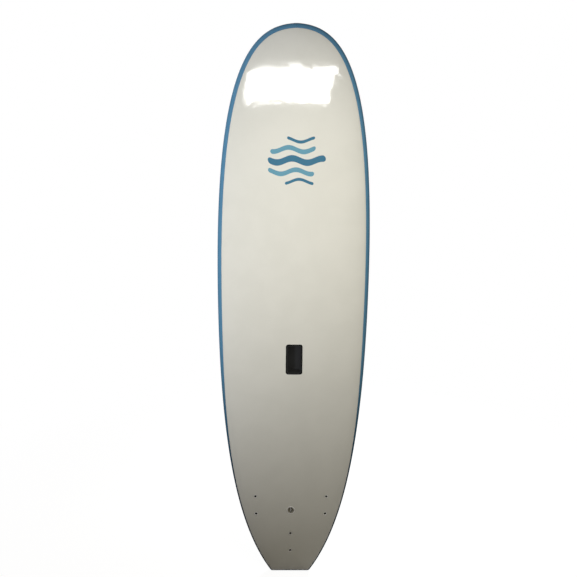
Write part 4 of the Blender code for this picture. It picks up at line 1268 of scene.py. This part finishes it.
@functools.lru_cache(maxsize=None)
def fin_row(depth):
    """Front edge, back edge, half thickness and root swelling at one depth."""
    sought = depth * FIN_DEPTH / FIN_LOW
    lead = bezier(FIN_LEAD, solve(lambda t: bezier(FIN_LEAD, t).y, sought)).x
    trail = bezier(FIN_TRAIL, solve(lambda t: bezier(FIN_TRAIL, t).y, sought)).x
    half = ROOT_HALF + (TIP_HALF - ROOT_HALF) * depth / FIN_DEPTH
    half *= math.sqrt(1 - part_way(depth, FIN_LOW - TIP_ROUND, FIN_LOW) ** 2)
    near_root = part_way(depth, FOOT_THICK + ROOT_FILLET, FOOT_THICK)
    return lead, trail, half, ROOT_SWELL * near_root**2.5


def blade_shape(inner_share):
    """around runs from the back edge over one face to the front at 0, and over the other face back."""
    depths = [FOOT_THICK / 2] + steps(FOOT_THICK, (FOOT_THICK + ROOT_FILLET, 8))
    start = depths[-1]
    turns = steps(0, (math.pi / 2, BLADE_ROWS))[1:]
    depths += [start + (FIN_LOW - start) * math.sin(turn) for turn in turns]
    columns = [-CLOSING, *steps(-1, (1, BLADE_COLUMNS)), CLOSING]

    def on_blade(depth, around):
        lead, trail, half, swell = fin_row(depth)
        share = min(around * around, 1)
        thick = half * foil_share(share) * (inner_share if around < 0 else 1.0) + swell
        y = lead + swell + (trail - lead - 2 * swell) * share
        if abs(around) > 1:
            return Vector((0, y - BLUNT * min(half / (4 * BLUNT), 1), -depth))
        return Vector((math.copysign(thick, around) if around else 0, y, -depth))

    made = laid_over(depths, columns, on_blade)
    rim = [edge for edge in made.edges if edge.is_boundary and edge.verts[0].co.z > -FOOT_THICK]
    bmesh.ops.contextual_create(made, geom=rim)
    return faced(made)


print("blade ready")

# %% Fins
BOSS_RADIUS = INSERT_RADIUS + GAP + 0.0024
BOSS_LOW = INSERT_END - 0.0055
BOSS_DOME = 0.003
FOOT = (BOSS_RADIUS + 0.0015, 0.0575, BOSS_RADIUS + 0.0001)
FOOT_ROUND = 0.0012
CANT = math.radians(5)
INNER_FACE = 0.35  # how full a side fin's inner face is


def make_fin(side, lean):
    """lean is 1 or -1 for a side fin and 0 for the centre one."""
    blade = blade_shape(INNER_FACE if lean else 1.0)
    if lean > 0:
        bmesh.ops.scale(blade, verts=blade.verts, vec=(-1, 1, 1))
        bmesh.ops.reverse_faces(blade, faces=blade.faces)
    moved(blade, Matrix.Rotation(lean * CANT, 4, "Y"))
    foot = lofted([ring(FOOT, 0, -FOOT_THICK), ring(FOOT, 0, -GAP)], segments=12)
    break_edges(foot, FOOT_ROUND, 4, at=-FOOT_THICK)
    parts = [foot]
    holes = []
    for place in SCREW_PLACES.values():
        boss = break_edges(rod(BOSS_RADIUS, BOSS_LOW, -FOOT_THICK / 2), BOSS_DOME, 6, at=BOSS_LOW)
        parts.append(moved(boss, place))
        holes.append(moved(rod(INSERT_RADIUS + GAP, INSERT_END - GAP, REACH), place))
    fin = combined(link(f"soft_fin_{side}", blade), "UNION", *parts)
    keep(combined(fin, "DIFFERENCE", *holes), fin_rubber, f"fin_{side}", FIN_PLACES[side])


for side, lean in (("left", 1), ("right", -1), ("centre", 0)):
    make_fin(side, lean)

# %% [markdown]
# ## Inside the board
#
# The core and the two stringers are never seen on a whole board, so their measured shapes are kept as they
# are. They still get real materials: expanded beads pressed together for the foam, and plies with a grain
# for the wood, so that a cut-away view of the model would look right.

# %% Core and stringers
BEAD_WHITE = (0.88, 0.88, 0.86)
BEAD_EDGE = (0.80, 0.80, 0.78)
BEAD_RELIEF = -0.0006
PLY_THICK = 0.0016
GLUE_SHARE = 0.35
GLUE_BROWN = (0.33, 0.20, 0.10)
WOOD_DARK = (0.44, 0.29, 0.15)
WOOD_PALE = (0.58, 0.42, 0.25)
GRAIN_RELIEF = 0.0001

core_foam = Finish("core_foam", Roughness=0.85)
bead = core_foam.cells(250.0)
core_foam.set(Base_Color=core_foam.mix(bead.fade(0.3, 0.8), BEAD_WHITE, BEAD_EDGE))
core_foam.bumps((bead, BEAD_RELIEF))

plywood = Finish("plywood", Roughness=0.65)
ply = (plywood.axes()[0] * (2 * math.pi / PLY_THICK)).sine().fade(-0.2, 0.2)
grain = plywood.noise(1.0, detail=4.0, stretch=(500.0, 120.0, 6.0))
wood = plywood.mix(grain, WOOD_DARK, WOOD_PALE)
plywood.set(Base_Color=plywood.mix(ply * GLUE_SHARE, wood, GLUE_BROWN))
plywood.bumps((grain, GRAIN_RELIEF))

for node in ("core_left", "core_centre", "core_right"):
    coat(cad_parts[node], core_foam)
for node in ("stringer_left", "stringer_right"):
    coat(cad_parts[node], plywood)
print("core and stringers finished")

# %% [markdown]
# ## The floor
#
# The photograph's background is pure white, so the floor has to reach white in the camera without more
# light falling on the board. Near the board the floor is an ordinary pale surface that can take a shadow,
# with just enough glow added, seen by the camera only, to bring it to white. Further out it fades into a
# plain white glow, and the horizon disappears.

# %% Floor
FLOOR_HALF = 30.0
FLOOR_GREY = (0.20, 0.20, 0.20)
FLOOR_GLOW = (0.93, 0.93, 0.93)  # added near the board, where the lamps make up the rest
WHITE = (1.0, 1.0, 1.0)
NOTHING = (0.0, 0.0, 0.0)
SHADOW_ENDS = (0.9, 2.2)  # the floor turns from the one surface to the other between these distances

floor_mesh = bmesh.new()
bmesh.ops.create_grid(floor_mesh, x_segments=1, y_segments=1, size=FLOOR_HALF)
floor = link("floor", floor_mesh)
pale = Finish("floor", Roughness=0.9, Specular_IOR_Level=0.0, Emission_Strength=1.0)
x, y, _ = pale.axes()
far_off = x.across(y).fade(*SHADOW_ENDS)
seen = pale.seen_directly()
glow = pale.mix(far_off, FLOOR_GLOW, WHITE)
lit = pale.mix(far_off * seen, FLOOR_GREY, NOTHING)
pale.set(Base_Color=lit, Emission_Color=pale.mix(seen, NOTHING, glow))
floor.data.materials.append(pale.material)
floor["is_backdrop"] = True
print("floor ready")

# %% [markdown]
# ## Light
#
# The cream of the deck is brightest above the middle and fades evenly towards the tail. That is the mark
# of a wide soft lamp close in front, tilted down, because light falls off fast near its source. A small
# lamp low on the left shines upwards and keeps the left side and the nose from falling behind. The wide
# lamp is slightly warm and the small one slightly cool, because the deck is creamier at the tail than at
# the nose.
#
# Below the nose a bright window mirrors in the glossy foam as a white patch, straight along its top and
# cut off at a slant on the right. A lamp has only one shape, so the jobs are split: the two lamps give
# light and no mirror image, and four small panels give a mirror image and no light. Two of the panels
# step out to the right, and the waviness of the foam melts their steps into one slanted edge.
#
# Behind stands a tall narrow lamp for the bottom and the fins. It is off to one side, so that its mirror
# image runs down the rail as a thin line and leaves the flat bottom plain.

# %% Lamps and world
WARM_LIGHT = (1.0, 0.978, 0.898)
COOL_LIGHT = (0.882, 0.914, 1.0)
AMBIENT = (0.046, 0.032, 0.012)
MIRROR_RADIANCE = 18.0
MIRROR_Y = -0.30
# Each panel's left, right, lower and upper edge
MIRRORS = {
    "mirror_panel": (-0.240, 0.163, 1.829, 1.951),
    "mirror_corner_right": (0.150, 0.188, 1.895, 1.957),
    "mirror_tip_right": (0.175, 0.226, 1.930, 1.960),
    "mirror_corner_left": (-0.268, -0.232, 1.848, 1.945),
}


def soft_lamp(name, place, aim, size, watts, tint=WHITE, diffuse=True, glossy=True):
    data = bpy.data.lights.new(name, "AREA")
    data.shape = "RECTANGLE"
    data.size, data.size_y = size
    data.energy = watts
    data.color = tint
    lamp = aimed(name, data, place, aim)
    lamp.visible_camera = False
    lamp.visible_diffuse = diffuse
    lamp.visible_glossy = glossy


soft_lamp(
    "front_lamp", (0.892, -1.068, 1.529), (1.361, 0.0, 0.748), (2.52, 1.10), 11.6, WARM_LIGHT, glossy=False
)
soft_lamp(
    "side_lamp", (-1.221, -1.658, 0.922), (-1.916, 0.0, 3.188), (0.35, 0.50), 51.8, COOL_LIGHT, glossy=False
)
for name, (left, right, low, high) in MIRRORS.items():
    x = (left + right) / 2
    z = (low + high) / 2
    watts = MIRROR_RADIANCE * math.pi * (right - left) * (high - low)
    soft_lamp(name, (x, MIRROR_Y, z), (x, 0.0, z), (right - left, high - low), watts, diffuse=False)
soft_lamp("back_lamp", (0.95, 2.2, 1.3), (0.0, 0.0, 1.05), (0.45, 2.0), 48.0)

world = bpy.data.worlds.new("white_surround")
world.use_nodes = True
sky = Nodes(world.node_tree)
sky.plug(sky.tree.nodes["Background"].inputs["Color"], sky.mix(sky.seen_directly(), AMBIENT, WHITE))
bpy.context.scene.world = world
bpy.context.scene.view_settings.view_transform = "Standard"
print(f"{3 + len(MIRRORS)} lamps and a white surround are set")

# %% [markdown]
# ## Hand over
#
# The dressed model must be as large as the measured one, so both boxes are gathered, and the last line
# prints how many pieces there are and how tall the dressed model is.

# %% Sizes and finish
low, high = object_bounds()
sizes = {"cad": [list(CAD_LOW), list(CAD_HIGH)], "visual": [list(low), list(high)]}
print(f"{len(PIECES)} pieces, {(high.z - low.z) * 1000:.1f} mm tall")
